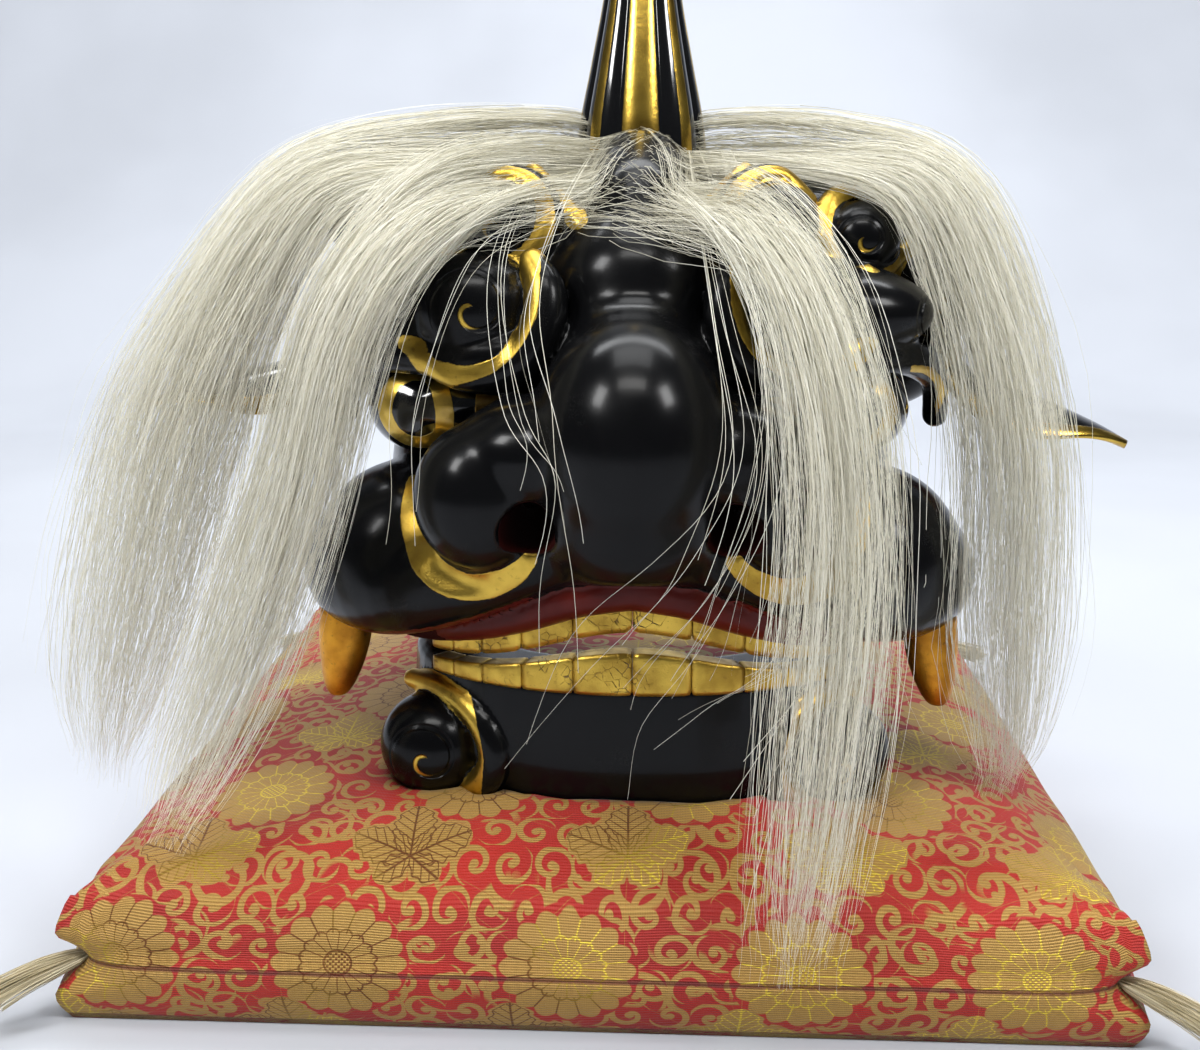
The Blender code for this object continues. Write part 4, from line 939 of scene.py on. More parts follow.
def gold_material(name, warm=False, cracked=False, rough=0.30):
    s = Shade(name)
    tone = gold_tone(s, warm)
    height = s.noise(300, 4) * 0.5 + s.noise(1500, 2) * 0.3
    if cracked:
        cell = s.tree.nodes.new("ShaderNodeTexVoronoi")
        cell.feature = "DISTANCE_TO_EDGE"
        cell.inputs["Scale"].default_value = 260
        s.tree.links.new(s.place(), cell.inputs["Vector"])
        crack = 1.0 - s.step(Value(s, cell.outputs["Distance"]) + (s.noise(500, 3) - 0.5) * 0.16, 0.0, 0.03)
        crack = crack * s.step(s.noise(60, 3), 0.52, 0.66)
        tone = s.mix(crack * 0.85, tone, (0.045, 0.020, 0.008, 1))
        height = height - crack * 1.4
        s.set(Metallic=0.95 - crack * 0.8)
    else:
        s.set(Metallic=0.94)
    s.set(Base_Color=tone, Roughness=rough + (s.noise(220, 3) - 0.4) * 0.3)
    s.set(Normal=s.bump(height, 0.0005, 0.7))
    return s.material


def eye_material(name):
    s = Shade(name)
    wobble = (s.noise(220, 2) - 0.5) * 0.8
    pupil = 1.0 - s.step(s.attribute("pupil") + wobble, -0.15, 0.15)
    ring = 1.0 - s.step(s.attribute("ring") + wobble, -0.15, 0.15)
    inner = 1.0 - s.step(s.attribute("inner") + wobble, -0.2, 0.2)
    gold = (ring * (1.0 - pupil)).call("MAXIMUM", inner)
    tone = s.mix(inner, gold_tone(s), s.mix(s.step(s.noise(90, 4), 0.3, 0.7), (0.70, 0.46, 0.09, 1),
                                           (0.36, 0.19, 0.04, 1)))
    s.set(Base_Color=s.mix(gold, (0.004, 0.004, 0.0045, 1), tone), Metallic=gold * 0.85)
    s.set(Roughness=0.12 + gold * 0.20, Coat_Weight=0.5)
    s.set(Coat_Roughness=0.06, Normal=s.bump(gold + s.noise(500, 3) * gold * 0.5, 0.0003, 0.6))
    return s.material


def ear_material(name):
    s = Shade(name)
    wobble = (s.noise(260, 2) - 0.5) * 1.0
    rim = 1.0 - s.step(s.attribute("rim") + wobble, 3.6, 4.0)
    belly = 1.0 - s.step(s.attribute("belly"), -0.2, 0.2)
    red = s.mix(s.step(s.noise(60, 3), 0.3, 0.7), (0.15, 0.014, 0.010, 1), (0.10, 0.012, 0.010, 1))
    colour = s.mix(belly, (0.004, 0.004, 0.0045, 1), red)
    s.set(Base_Color=s.mix(rim, colour, gold_tone(s)), Metallic=rim)
    s.set(Roughness=0.12 + belly * 0.15 + rim * 0.12, Coat_Weight=0.6 - rim * 0.45)
    s.set(Coat_Roughness=0.06, Normal=s.bump(rim + s.noise(400, 3) * 0.2, 0.0003, 0.5))
    return s.material


def horn_material(name):
    s = Shade(name)
    wobble = (s.noise(300, 2) - 0.5) * 0.5
    gold = 1.0 - s.step(s.attribute("gold") + wobble, -0.12, 0.12)
    s.set(Base_Color=s.mix(gold, (0.004, 0.004, 0.0045, 1), gold_tone(s)), Metallic=gold)
    s.set(Roughness=0.11 + gold * 0.16, Coat_Weight=0.7 - gold * 0.5, Coat_Roughness=0.05)
    s.set(Normal=s.bump(gold + s.noise(300, 3) * gold * 0.6, 0.0003, 0.6))
    return s.material


def hair_material(name, tone, dark, shine=0.36):
    """Horsehair: pale strands that let light through, with a soft gloss along them and painted shade towards
    the roots.
    """
    s = Shade(name)
    pick = s.attribute("tone")
    along = s.attribute("along")
    colour = s.mix(pick, tone, dark)
    # painted shade: each strand darker over the first fifth of its length, from the root
    colour = s.mix(s.step(along, 0.0, 0.22) * -1.0 + 1.0, colour, tuple(c * 0.72 for c in dark[:3]) + (1,))
    s.set(Base_Color=colour, Roughness=shine, Specular_IOR_Level=0.5)
    thin = s.tree.nodes.new("ShaderNodeBsdfTranslucent")
    s.tree.links.new(colour, thin.inputs["Color"])
    mix = s.tree.nodes.new("ShaderNodeMixShader")
    mix.inputs[0].default_value = 0.30
    s.tree.links.new(s.shader.outputs[0], mix.inputs[1])
    s.tree.links.new(thin.outputs[0], mix.inputs[2])
    out = [n for n in s.tree.nodes if n.type == "OUTPUT_MATERIAL"][0]
    s.tree.links.new(mix.outputs[0], out.inputs["Surface"])
    return s.material


def brocade(name):
    """Red satin with gold brocading: rosettes, lobed leaves and curling scrolls, woven in ribs."""
    s = Shade(name)
    u, v = s.attribute("cloth_u"), s.attribute("cloth_v")
    weft = (v * (2 * math.pi / 1.05)).call("SINE") * 0.5 + 0.5
    warp = (u * (2 * math.pi / 0.62)).call("SINE") * 0.5 + 0.5
    flat_u = u
    du, dv = s.noise(24, 1) - 0.5, s.noise(27, 1) - 0.5
    u, v = u + du * 2.2, v + dv * 2.2

    def cell(tile, shift_u=0.0, shift_v=0.0):
        """Place inside a repeating tile, measured from its middle, in mm, and the tile's number."""
        row = ((v + shift_v) / tile).call("FLOOR")
        odd = row.call("MODULO", 2.0).call("ABSOLUTE")
        x = (u + shift_u) / tile + odd * 0.5
        a = (x - x.call("FLOOR") - 0.5) * tile
        b = ((v + shift_v) / tile - row - 0.5) * tile
        return a, b, x.call("FLOOR") * 3.7 + row * 5.3

    def polar(a, b):
        return (a * a + b * b).call("SQRT"), b.call("ARCTAN2", a)

    def band(value, low, high, soft):
        return s.step(value, low - soft, low + soft) * (1.0 - s.step(value, high - soft, high + soft))

    # rosettes: two rings of narrow petals round a small netted heart
    a, b, _ = cell(82.0)
    r, t = polar(a, b)
    petal = (t * 8.0).call("COSINE").call("ABSOLUTE")
    out_r = 21.5 + petal * 3.0
    flower = 1.0 - s.step(r - out_r, -0.35, 0.35)
    slit = (1.0 - s.step(petal * r, 1.6, 3.0)) * s.step(r, 12.2, 12.9)
    petal2 = (t * 8.0 + math.pi / 2).call("COSINE").call("ABSOLUTE")
    ring = 12.6 + petal2 * 1.5
    slit2 = (1.0 - s.step(petal2 * r, 1.0, 2.1)) * band(r, 5.6, 12.7, 0.3)
    edge1 = band(r - ring, -0.3, 0.55, 0.25)
    heart = band(r, 4.5, 5.3, 0.25).call("MAXIMUM", (1.0 - s.step(r, 4.4, 4.7))
                                         * s.step((a * 3.1).call("SINE") * (b * 3.1).call("SINE"), 0.0, 0.35))
    flower_line = slit.call("MAXIMUM", slit2).call("MAXIMUM", edge1).call("MAXIMUM", heart)

    # lobed leaves: three wide lobes with veins, and three short flower spikes above
    a, b, _ = cell(82.0, 20.5, 41.0)
    leaf, vein = None, None
    for turn, length, width in ((0.0, 25.0, 11.0), (1.15, 25.0, 10.5), (-1.15, 25.0, 10.5), (2.2, 15.0, 7.0),
                                (-2.2, 15.0, 7.0)):
        c, n = math.cos(turn), math.sin(turn)
        along = a * n + b * c
        across = a * c - b * n
        mid = (along - length * 0.5) / (length * 0.5)
        lobe = across.call("ABSOLUTE") - (1.0 - mid * mid).call("MAXIMUM", 0.0).call("SQRT") * width \
            * (0.9 + (along * 1.3).call("SINE") * 0.07)
        inside = 1.0 - s.step(lobe, -0.3, 0.3)
        rib = band(across.call("ABSOLUTE"), -1.0, 0.42, 0.2)
        side_vein = band(((along - across.call("ABSOLUTE") * 0.9) / 4.2).call("FRACT"), 0.40, 0.54, 0.05)
        edge = band(lobe, -2.1, -1.5, 0.2)
        lines = rib.call("MAXIMUM", side_vein * (1.0 - s.step(lobe, -2.3, -2.0))).call("MAXIMUM", edge) \
            * inside
        leaf = inside if leaf is None else leaf.call("MAXIMUM", inside)
        vein = lines if vein is None else vein.call("MAXIMUM", lines)

    # scrolls: a spiral in each small cell, alternately left and right handed
    def scroll(tile, shift_u, shift_v, pitch, wide):
        a, b, seed = cell(tile, shift_u, shift_v)
        r, t = polar(a, b)
        hand = (seed * 0.37).call("SINE").call("SIGN")
        spin = ((t + seed) * hand / (2 * math.pi)) + r / pitch
        arm = (spin.call("FRACT") - 0.5).call("ABSOLUTE") * pitch
        grow = wide * (0.80 + r * 0.060)
        line = 1.0 - s.step(arm - grow, -0.22, 0.22)
        bud = 1.0 - s.step(r, 1.5, 1.9)
        return line.call("MAXIMUM", bud) * (1.0 - s.step(r, tile * 0.53, tile * 0.56))

    curls = scroll(14.6, 0.0, 0.0, 6.9, 1.12).call("MAXIMUM", scroll(22.0, 9.0, 7.0, 8.4, 1.05)
                                                * s.step(s.noise(33, 1), 0.46, 0.50))
    a1, b1, _ = cell(82.0)
    r1, _ = polar(a1, b1)
    free = s.step(r1 - 25.4, -0.3, 0.3) * s.step(leaf * -1.0 + 1.0, 0.2, 0.8)
    curls = curls * free
    gold = curls.call("MAXIMUM", flower).call("MAXIMUM", leaf)
    inlay = (flower_line * flower).call("MAXIMUM", vein * leaf * (1.0 - flower))

    # the weave: gold wefts lie across in ribs, red satin shows its fine warps
    red = s.mix(s.step(s.noise(21, 3), 0.3, 0.7) * 0.6 + warp * 0.2, (0.52, 0.017, 0.006, 1),
                (0.31, 0.007, 0.004, 1))
    pale = s.mix(weft * 0.55 + s.noise(900, 2) * 0.35, (0.27, 0.135, 0.022, 1), (0.66, 0.41, 0.10, 1))
    bright = s.mix(weft, (0.46, 0.30, 0.02, 1), (0.92, 0.72, 0.09, 1))
    pale = s.mix(s.step(s.noise(19, 2), 0.36, 0.64) * 0.55, pale, (0.44, 0.25, 0.06, 1))
    line_tone = s.mix(s.step(s.noise(13, 1), 0.42, 0.58), (0.17, 0.06, 0.015, 1), bright)
    thread = s.mix(inlay, pale, line_tone)
    split = s.tree.nodes.new("ShaderNodeSeparateXYZ")
    s.tree.links.new(s.place(), split.inputs[0])
    from_seam = (Value(s, split.outputs[2]) * 1000.0 - 23.0 + (s.noise(60, 2) - 0.5) * 1.2).call("ABSOLUTE")
    seam = 1.0 - s.step(from_seam, 0.35, 1.1)
    colour = s.mix(seam * 0.8, s.mix(gold, red, thread), (0.10, 0.008, 0.004, 1))
    s.set(Base_Color=colour, Metallic=gold * (0.30 + inlay * 0.35))
    s.set(Roughness=0.50 - gold * 0.10 + s.noise(700, 2) * 0.12, Sheen_Weight=0.10, Sheen_Roughness=0.4)
    relief = weft * 0.55 + warp * 0.20
    soft = s.noise(38, 2)
    gather = (flat_u * 1.7 + soft * 9.0).call("SINE") * (1.0 - s.step(from_seam, 1.5, 9.0))
    pucker = soft + gather * 0.12 - seam * 0.25
    s.set(Normal=s.bump(relief, 0.00042, 0.9, s.bump(pucker, 0.004, 0.35)))
    return s.material


def plain_material(name, colour, rough, grain=0.0, scale=400.0):
    s = Shade(name)
    dark = tuple(c * 0.7 for c in colour[:3]) + (1,)
    s.set(Base_Color=s.mix(s.step(s.noise(scale, 4), 0.35, 0.7) * 0.6, colour, dark), Roughness=rough)
    if grain:
        s.set(Normal=s.bump(s.noise(scale * 2, 3), grain, 0.6))
    return s.material


# Mane.
def lock_frames(rows, count):
    """Centre line of a lock with its across and outward directions, half width and half thickness, in mm."""
    data = spline([(*place(c), w * 2.42, t * 2.42) for c, w, t in rows], count)
    centre = np.array((HEAD_X, 12.1, 60 + 0.62 * 242))
    p = data[:, :3]
    along = np.gradient(p, axis=0)
    along /= np.linalg.norm(along, axis=1)[:, None]
    out = p - centre
    out[:, 0] *= 0.35
    out -= along * (out * along).sum(1)[:, None]
    out /= np.linalg.norm(out, axis=1)[:, None]
    return p, along, out, np.cross(along, out), data[:, 3], data[:, 4]


def smooth(t):
    t = np.clip(t, 0, 1)
    return t * t * (3 - 2 * t)


def strands(rows, count, clumps, seed, shift=0.0, spread=1.0, flare=0.8, crossing=0.0,
            steps=24, width=0.20):
    """Hair strands that follow a lock: points, widths, tones and the way each ribbon faces."""
    rng = np.random.default_rng(seed)
    p, along, out, across, half, thick = lock_frames(rows, 120)
    clump_u, clump_v = np.clip(rng.normal(0, 0.55, clumps), -1.05, 1.05), rng.uniform(-1, 1, clumps)
    clump_len = rng.uniform(0.80, 1.0, clumps)
    clump_wave = rng.normal(0, 1, (clumps, 4))
    which = rng.integers(0, clumps, count)
    u0 = np.clip(clump_u[which] * 0.8 + rng.normal(0, 0.42, count), -1.25, 1.25)
    v0 = np.clip(clump_v[which] + rng.normal(0, 0.6, count), -1.2, 1.2)
    length = np.where(rng.random(count) < 0.72, rng.uniform(0.35, 1.0, count) ** 0.75, 1.02) \
        * clump_len[which]
    length = np.minimum(length * rng.uniform(0.95, 1.08, count), 1.05)
    start = rng.random(count) ** 1.5 * 0.22
    t = np.linspace(0, 1, steps)[None, :]
    at = start[:, None] + (length - start)[:, None] * t
    index = np.clip(at, 0, 1) * 119
    i = np.minimum(index.astype(int), 118)
    f = (index - i)[..., None]

    def pick(a):
        return a[i] * (1 - f) + a[i + 1] * f if a.ndim == 2 else a[i] * (1 - f[..., 0]) + a[i + 1] * f[..., 0]

    cw = clump_wave[which]
    pull = smooth((at - 0.25) / 0.75) * 0.50
    u = u0[:, None] * (1 - pull) + clump_u[which][:, None] * pull
    v = v0[:, None] * (1 - pull) + clump_v[which][:, None] * pull
    u = u + smooth(at) * 0.16 * np.sin(at * 8 + cw[:, :1] * 3) * cw[:, 1:2]
    lean = rng.normal(0, 1, (count, 5))
    stray = (rng.random(count) < 0.16)[:, None] * lean[:, 2:3]
    u = u + 0.20 * lean[:, :1] * at**1.2 + stray * 0.60 * at**1.4
    u = u + 0.11 * np.sin(at * (9 + 3 * lean[:, 1:2]) + lean[:, :1] * 5) * smooth(at * 2.5)
    u = u + 0.035 * np.sin(at * (34 + 6 * lean[:, 3:4]) + lean[:, 4:5] * 5) * smooth(at * 4)
    v = v + 0.40 * lean[:, 1:2] * at + 0.20 * np.sin(at * 9 + cw[:, 2:3] * 4 + lean[:, 2:3]) * at
    v = v + 0.22 * np.sin(at * (26 + 5 * lean[:, 4:5]) + lean[:, 3:4] * 4) * smooth(at * 4)
    wide = 1 + flare * np.exp(-(((at - 0.14) / 0.15) ** 2))
    u = np.clip(shift * smooth(at * 3) + u * spread * wide, -2.1, 2.1)
    top = np.exp(-((np.maximum(at - 0.12, 0) / 0.24) ** 2))
    v = v * (1 - 0.45 * top) - 2.1 * top
    round_v = np.sqrt(np.clip(1 - np.clip(u, -1, 1) ** 2, 0.12, 1))
    q = pick(p) + pick(across) * (u * pick(half))[..., None] \
        + pick(out) * (v * round_v * pick(thick))[..., None]
    q = q + along[-1] * np.maximum(at - 1, 0)[..., None] * 190
    across_crown = np.where(rng.random(count) < crossing, rng.uniform(4, 42, count), 0.0)[:, None]
    early = 1 - smooth((at - start[:, None]) / 0.16)
    q[..., 0] -= np.sign(p[60, 0] - HEAD_X) * across_crown * early
    q[..., 2] -= across_crown * early * 0.22
    w = width * rng.uniform(0.7, 1.3, (count, 1)) * np.clip((1.02 - t) * 5, 0.30, 1) * np.ones((count, steps))
    tone = np.clip(rng.beta(1.2, 2.4, count) + 0.14 * cw[:, 3], 0, 1)
    return q, w, tone, rng.normal(0, 0.8, count), pick(out), pick(across)


def loose_strands(paths, copies, seed, spread=10.0, steps=34, width=0.18):
    """Single hairs that have strayed from the locks and hang in front of the face."""
    rng = np.random.default_rng(seed)
    q = []
    for path in paths:
        base = spline(path, steps)
        for _ in range(copies):
            t = np.linspace(0, 1, steps)[:, None]
            bend = rng.normal(0, 1, (4, 3)) * (spread, spread * 0.35, spread * 0.5)
            wave = bend[0] * t + bend[1] * np.sin(t * 5 + bend[2][0]) * t * 0.6 \
                + bend[3] * np.sin(t * 11) * t * 0.25
            line = base + wave
            cut = rng.uniform(0.62, 1.0)
            q.append(spline(line[: max(int(steps * cut), 8)], steps))
    q = np.array(q)
    n = len(q)
    w = width * rng.uniform(0.7, 1.2, (n, 1)) * np.ones((n, steps))
    side = np.broadcast_to((1.0, 0.0, 0.0), q.shape)
    facing = np.broadcast_to((0.0, -1.0, 0.0), q.shape)
    return q, w, rng.beta(1.4, 2.8, n), rng.normal(0, 0.4, n), facing, side


def ribbon_object(name, sets, material):
    """Strands as narrow ribbons in one mesh, with tone and along attributes."""
    points, faces, tones, alongs, base = [], [], [], [], 0
    for q, w, tone, face, out, across in sets:
        n, m = q.shape[:2]
        d = np.gradient(q, axis=1)
        d /= np.linalg.norm(d, axis=2)[..., None] + 1e-9
        side = across * np.cos(face)[:, None, None] + out * np.sin(face)[:, None, None]
        side -= d * (side * d).sum(2)[..., None]
        side /= np.linalg.norm(side, axis=2)[..., None] + 1e-9
        a, b = q - side * w[..., None] / 2, q + side * w[..., None] / 2
        points.append(np.stack([a, b], 2).reshape(-1, 3))
        ids = base + np.arange(n * m * 2).reshape(n, m, 2)
        quad = np.stack([ids[:, :-1, 0], ids[:, :-1, 1], ids[:, 1:, 1], ids[:, 1:, 0]], -1)
        faces.append(quad.reshape(-1, 4))
        tones.append(np.repeat(tone, m * 2))
        alongs.append(np.tile(np.repeat(np.linspace(0, 1, m), 2), n))
        base += n * m * 2
    made = mesh_object(name, np.concatenate(points) / 1000, np.concatenate(faces))
    write_attribute(made, "tone", np.concatenate(tones))
    write_attribute(made, "along", np.concatenate(alongs))
    made.data.materials.append(material)
    return made


def off_the_head(q, gap=0.6):
    """Moves strand points that dip into the carved head back out to its surface."""
    shape = q.shape
    flat = q.reshape(-1, 3).copy()
    d, low = SKULL_FULL
    h = SKULL_FIELD.step
    for _ in range(2):
        local = flat - (HEAD_X, 0, 0)
        inside = np.all((local > low + 2 * h) & (local < low + (np.array(d.shape) - 3) * h), axis=1)
        at = np.flatnonzero(inside)
        value = sample(d, low, h, local[at])
        near = at[value < gap]
        g = gradient(d, low, h, local[near], 1.0)
        g /= np.linalg.norm(g, axis=1)[:, None] + 1e-6
        flat[near] += g * (gap - value[value < gap])[:, None]
    return flat.reshape(shape)


def off_the_cushion(q):
    """Keeps strand tips above the cushion and the floor."""
    x, y, z = q[..., 0], q[..., 1], q[..., 2]
    u, v = np.clip(np.abs(x) / 196, 0, 1), np.clip(np.abs(y) / 196, 0, 1)
    on = (np.abs(x) < 198) & (np.abs(y) < 198)
    top = 46 + 32 * ((1 - u * u) * (1 - v * v)) ** 0.62 + 1.5
    q[..., 2] = np.where(on, np.maximum(z, top), np.maximum(z, 2.0))
    return q


# single hairs across the face: from the crown down, in mm
STRAYS = (
    ((-4, -60, 311), (-15, -125, 284), (-23, -168, 250), (-12, -205, 219), (-3, -208, 178), (-8, -196, 129)),
    ((-20, -60, 311), (-35, -140, 270), (-28, -183, 225), (-16, -200, 202), (-23, -196, 160),
     (-32, -178, 96)),
    ((31, -70, 307), (41, -165, 252), (48, -198, 212), (35, -208, 179), (12, -200, 145), (-18, -176, 84)),
    ((35, -70, 307), (54, -170, 249), (55, -198, 203), (40, -204, 161), (22, -194, 123), (17, -178, 76)),
    ((43, -75, 307), (63, -175, 244), (70, -198, 190), (61, -198, 146), (36, -193, 126), (5, -182, 101)),
    ((47, -75, 307), (77, -172, 233), (87, -194, 175), (75, -194, 134), (56, -192, 98), (37, -192, 66)),
    ((20, -65, 307), (-15, -135, 285), (-43, -162, 268), (-60, -167, 223), (-62, -174, 182),
     (-69, -168, 138)),
    ((12, -65, 307), (41, -145, 281), (74, -167, 249), (99, -167, 207), (106, -167, 169), (107, -162, 116)),
)
SKULL_FULL = SKULL_FIELD.full()
CREAM = hair_material("horsehair_cream", (0.97, 0.95, 0.84, 1), (0.80, 0.75, 0.57, 1))
SHARE = 1.0
LOCK_HAIRS = {"left": (1700, 1350), "right": (1350, 900)}
# for each lock, outer then inner: how far its hairs lie off its middle, and how widely they spread
LOCK_SPREAD = {"left": ((0.0, 1.0, 0.5, 0.1), (0.28, 0.80, 0.6, 0.5)),
               "right": ((0.0, 0.95, 0.5, 0.1), (-0.10, 0.72, 0.2, 0.5))}
hair = {}
for word, side in (("left", -1), ("right", 1)):
    for number, (rows, count) in enumerate(zip(MANE_LOCKS["mane_" + word], LOCK_HAIRS[word])):
        seed = 100 + number * 10 + (side > 0)
        data = list(strands(rows, int(count * SHARE), 300, seed, *LOCK_SPREAD[word][number]))
        data[0] = off_the_cushion(off_the_head(data[0]))
        sets = [data]
        if number == 1:
            picked = STRAYS[0:2] + STRAYS[6:7] if side < 0 else STRAYS[2:6] + STRAYS[7:8]
            loose = list(loose_strands(picked, 4 if side < 0 else 7, seed + 1))
            loose[0] = off_the_cushion(off_the_head(loose[0], 1.2))
            sets.append(loose)
        name = "hair_" + word + ("_outer", "_inner")[number]
        hair[word, number] = ribbon_object(name, sets, CREAM)

# Cushion.
def cushion_side(u, v, w):
    """A point on the cushion's side: u and v on the rim of the plan, w up the side."""
    fold = 11.0 * (np.abs(u) * np.abs(v)) ** 14 + 1.6
    inset = 9.0 * (1 - np.sin(math.pi * (0.12 + 0.76 * w))) * 1.2
    seam = fold * np.exp(-(((w - 0.5) / 0.16) ** 2))
    shrink = 1 - (inset + seam) / 196
    return np.stack([u * 196 * shrink, v * 196 * shrink, w * 46 + 0 * u], -1)


def build_cushion():
    """The cushion as one closed quad mesh, with the place on the flat cloth at each point."""
    n = 104
    ticks = np.linspace(-1, 1, n + 1)
    ticks = np.sin(math.pi / 2 * ticks) * 0.25 + 0.75 * ticks
    uu, vv = np.meshgrid(ticks, ticks, indexing="ij")
    edge = np.maximum(np.abs(uu), np.abs(vv))
    points, cloth, faces = [], [], []
    ids = np.arange((n + 1) ** 2).reshape(n + 1, n + 1)
    for top in (True, False):
        p = cushion_side(uu, vv, 1.0 if top else 0.0)
        if top:
            swell = ((1 - uu * uu) * (1 - vv * vv)) ** 0.62
            p[..., 2] = np.where(edge > 0.9999, 46.0, 46 + 32 * swell)
        points.append(p.reshape(-1, 3))
        cloth.append(np.stack([uu * 196, vv * 196], -1).reshape(-1, 2))
        k = ids + (0 if top else (n + 1) ** 2)
        quad = np.stack([k[:-1, :-1], k[1:, :-1], k[1:, 1:], k[:-1, 1:]], -1).reshape(-1, 4)
        faces.append(quad if top else quad[:, ::-1])
    rim_top = np.concatenate([ids[:, 0], ids[-1, 1:], ids[-2::-1, -1], ids[0, -2:0:-1]])
    base = 2 * (n + 1) ** 2
    levels = np.linspace(0, 1, 17)
    ru, rv = uu.reshape(-1)[rim_top], vv.reshape(-1)[rim_top]
    loops = [rim_top + (n + 1) ** 2]
    for w in levels[1:-1]:
        points.append(cushion_side(ru, rv, w))
        over = (1 - w) * 56
        out = np.where(np.abs(rv) >= np.abs(ru), 0, 1)
        cu = ru * 196 + np.where(out == 1, np.sign(ru) * over, 0)
        cv = rv * 196 + np.where(out == 0, np.sign(rv) * over, 0)
        cloth.append(np.stack([cu, cv], -1))
        loops.append(base + np.arange(len(ru)))
        base += len(ru)
    loops.append(rim_top)
    for low, high in zip(loops[:-1], loops[1:]):
        faces.append(np.stack([low, np.roll(low, -1), np.roll(high, -1), high], -1))
    return np.concatenate(points), np.concatenate(faces), np.concatenate(cloth), levels


points, faces, cloth, _ = build_cushion()
cushion = mesh_object("cushion_brocade", points / 1000, faces)
bm = bmesh.new()
bm.from_mesh(cushion.data)
bmesh.ops.recalc_face_normals(bm, faces=bm.faces)
bm.to_mesh(cushion.data)
bm.free()


def mesh_points(thing):
    co = np.empty(len(thing.data.vertices) * 3, np.float32)
    thing.data.vertices.foreach_get("co", co)
    return co.reshape(-1, 3).astype(float)


def puff(thing, frames=20):
    """A short cloth simulation that fills the cushion, with its seams held."""
    rest = mesh_points(thing)
    group = thing.vertex_groups.new(name="seam")
    flat = np.flatnonzero((np.abs(rest[:, 2] - 0.023) < 0.0022) | (rest[:, 2] < 0.0002))
    group.add([int(i) for i in flat], 1.0, "REPLACE")
    step = thing.modifiers.new("cloth", "CLOTH")
    settings = step.settings
    settings.quality = 5
    settings.mass = 0.4
    settings.tension_stiffness = settings.compression_stiffness = 12
    settings.shear_stiffness = 8
    settings.bending_stiffness = 0.6
    settings.use_pressure = True
    settings.uniform_pressure_force = 4.0
    settings.vertex_group_mass = "seam"
    settings.effector_weights.gravity = 0
    step.collision_settings.use_collision = False
    scene = bpy.context.scene
    for frame_number in range(1, frames + 1):
        scene.frame_set(frame_number)
    graph = bpy.context.evaluated_depsgraph_get()
    co = np.empty(len(rest) * 3, np.float32)
    thing.evaluated_get(graph).data.vertices.foreach_get("co", co)
    thing.modifiers.remove(step)
    scene.frame_set(1)
    return rest, co.reshape(-1, 3).astype(float)


def seat_in_cushion(p):
    """Presses cushion points clear of the jaw, in metres."""
    d, low = JAW_FIELD.full()
    h = JAW_FIELD.step
    flat = p * 1000 - (HEAD_X, 0, 0)
    for _ in range(3):
        inside = np.all((flat > low + 2 * h) & (flat < low + (np.array(d.shape) - 3) * h), axis=1)
        at = np.flatnonzero(inside)
        value = sample(d, low, h, flat[at])
        near, value = at[value < 0.9], value[value < 0.9]
        g = gradient(d, low, h, flat[near], 1.0)
        g /= np.linalg.norm(g, axis=1)[:, None] + 1e-6
        g[:, 2] = np.minimum(g[:, 2], 0.15) - 0.35
        g /= np.linalg.norm(g, axis=1)[:, None]
        flat[near] += g * (0.9 - value)[:, None]
    return (flat + (HEAD_X, 0, 0)) / 1000


rest, moved = puff(cushion)
shift = moved - rest
far = np.linalg.norm(shift, axis=1)[:, None]
shift *= np.minimum(1.0, 0.0035 / (far + 1e-9))
shift[:, 2] = np.where(rest[:, 2] < 0.002, 0, shift[:, 2])
body = rest + shift
edge_u, edge_v = np.abs(rest[:, 0]) / 0.196, np.abs(rest[:, 1]) / 0.196
wrinkle_at = smooth((np.maximum(edge_u, edge_v) - 0.5) / 0.5) * (rest[:, 2] > 0.002)
angle = np.arctan2(np.minimum(edge_u, edge_v) - 1.0, np.maximum(edge_u, edge_v) - 1.02)
corner = smooth((edge_u * edge_v - 0.35) / 0.65)
body[:, 2] += 0.0009 * wrinkle_at * corner * np.sin(angle * 26) * (rest[:, 2] > 0.03)
body[:, 2] += 0.0007 * wrinkle_at * np.sin(rest[:, 0] * 95 + 2 * np.sin(rest[:, 1] * 40)) \
    * (rest[:, 2] > 0.03)
body = seat_in_cushion(body)
cushion.data.vertices.foreach_set("co", body.astype(np.float32).ravel())
write_attribute(cushion, "cloth_u", cloth[:, 0] + 9.0)
write_attribute(cushion, "cloth_v", cloth[:, 1] + 14.0)
cushion.data.update()

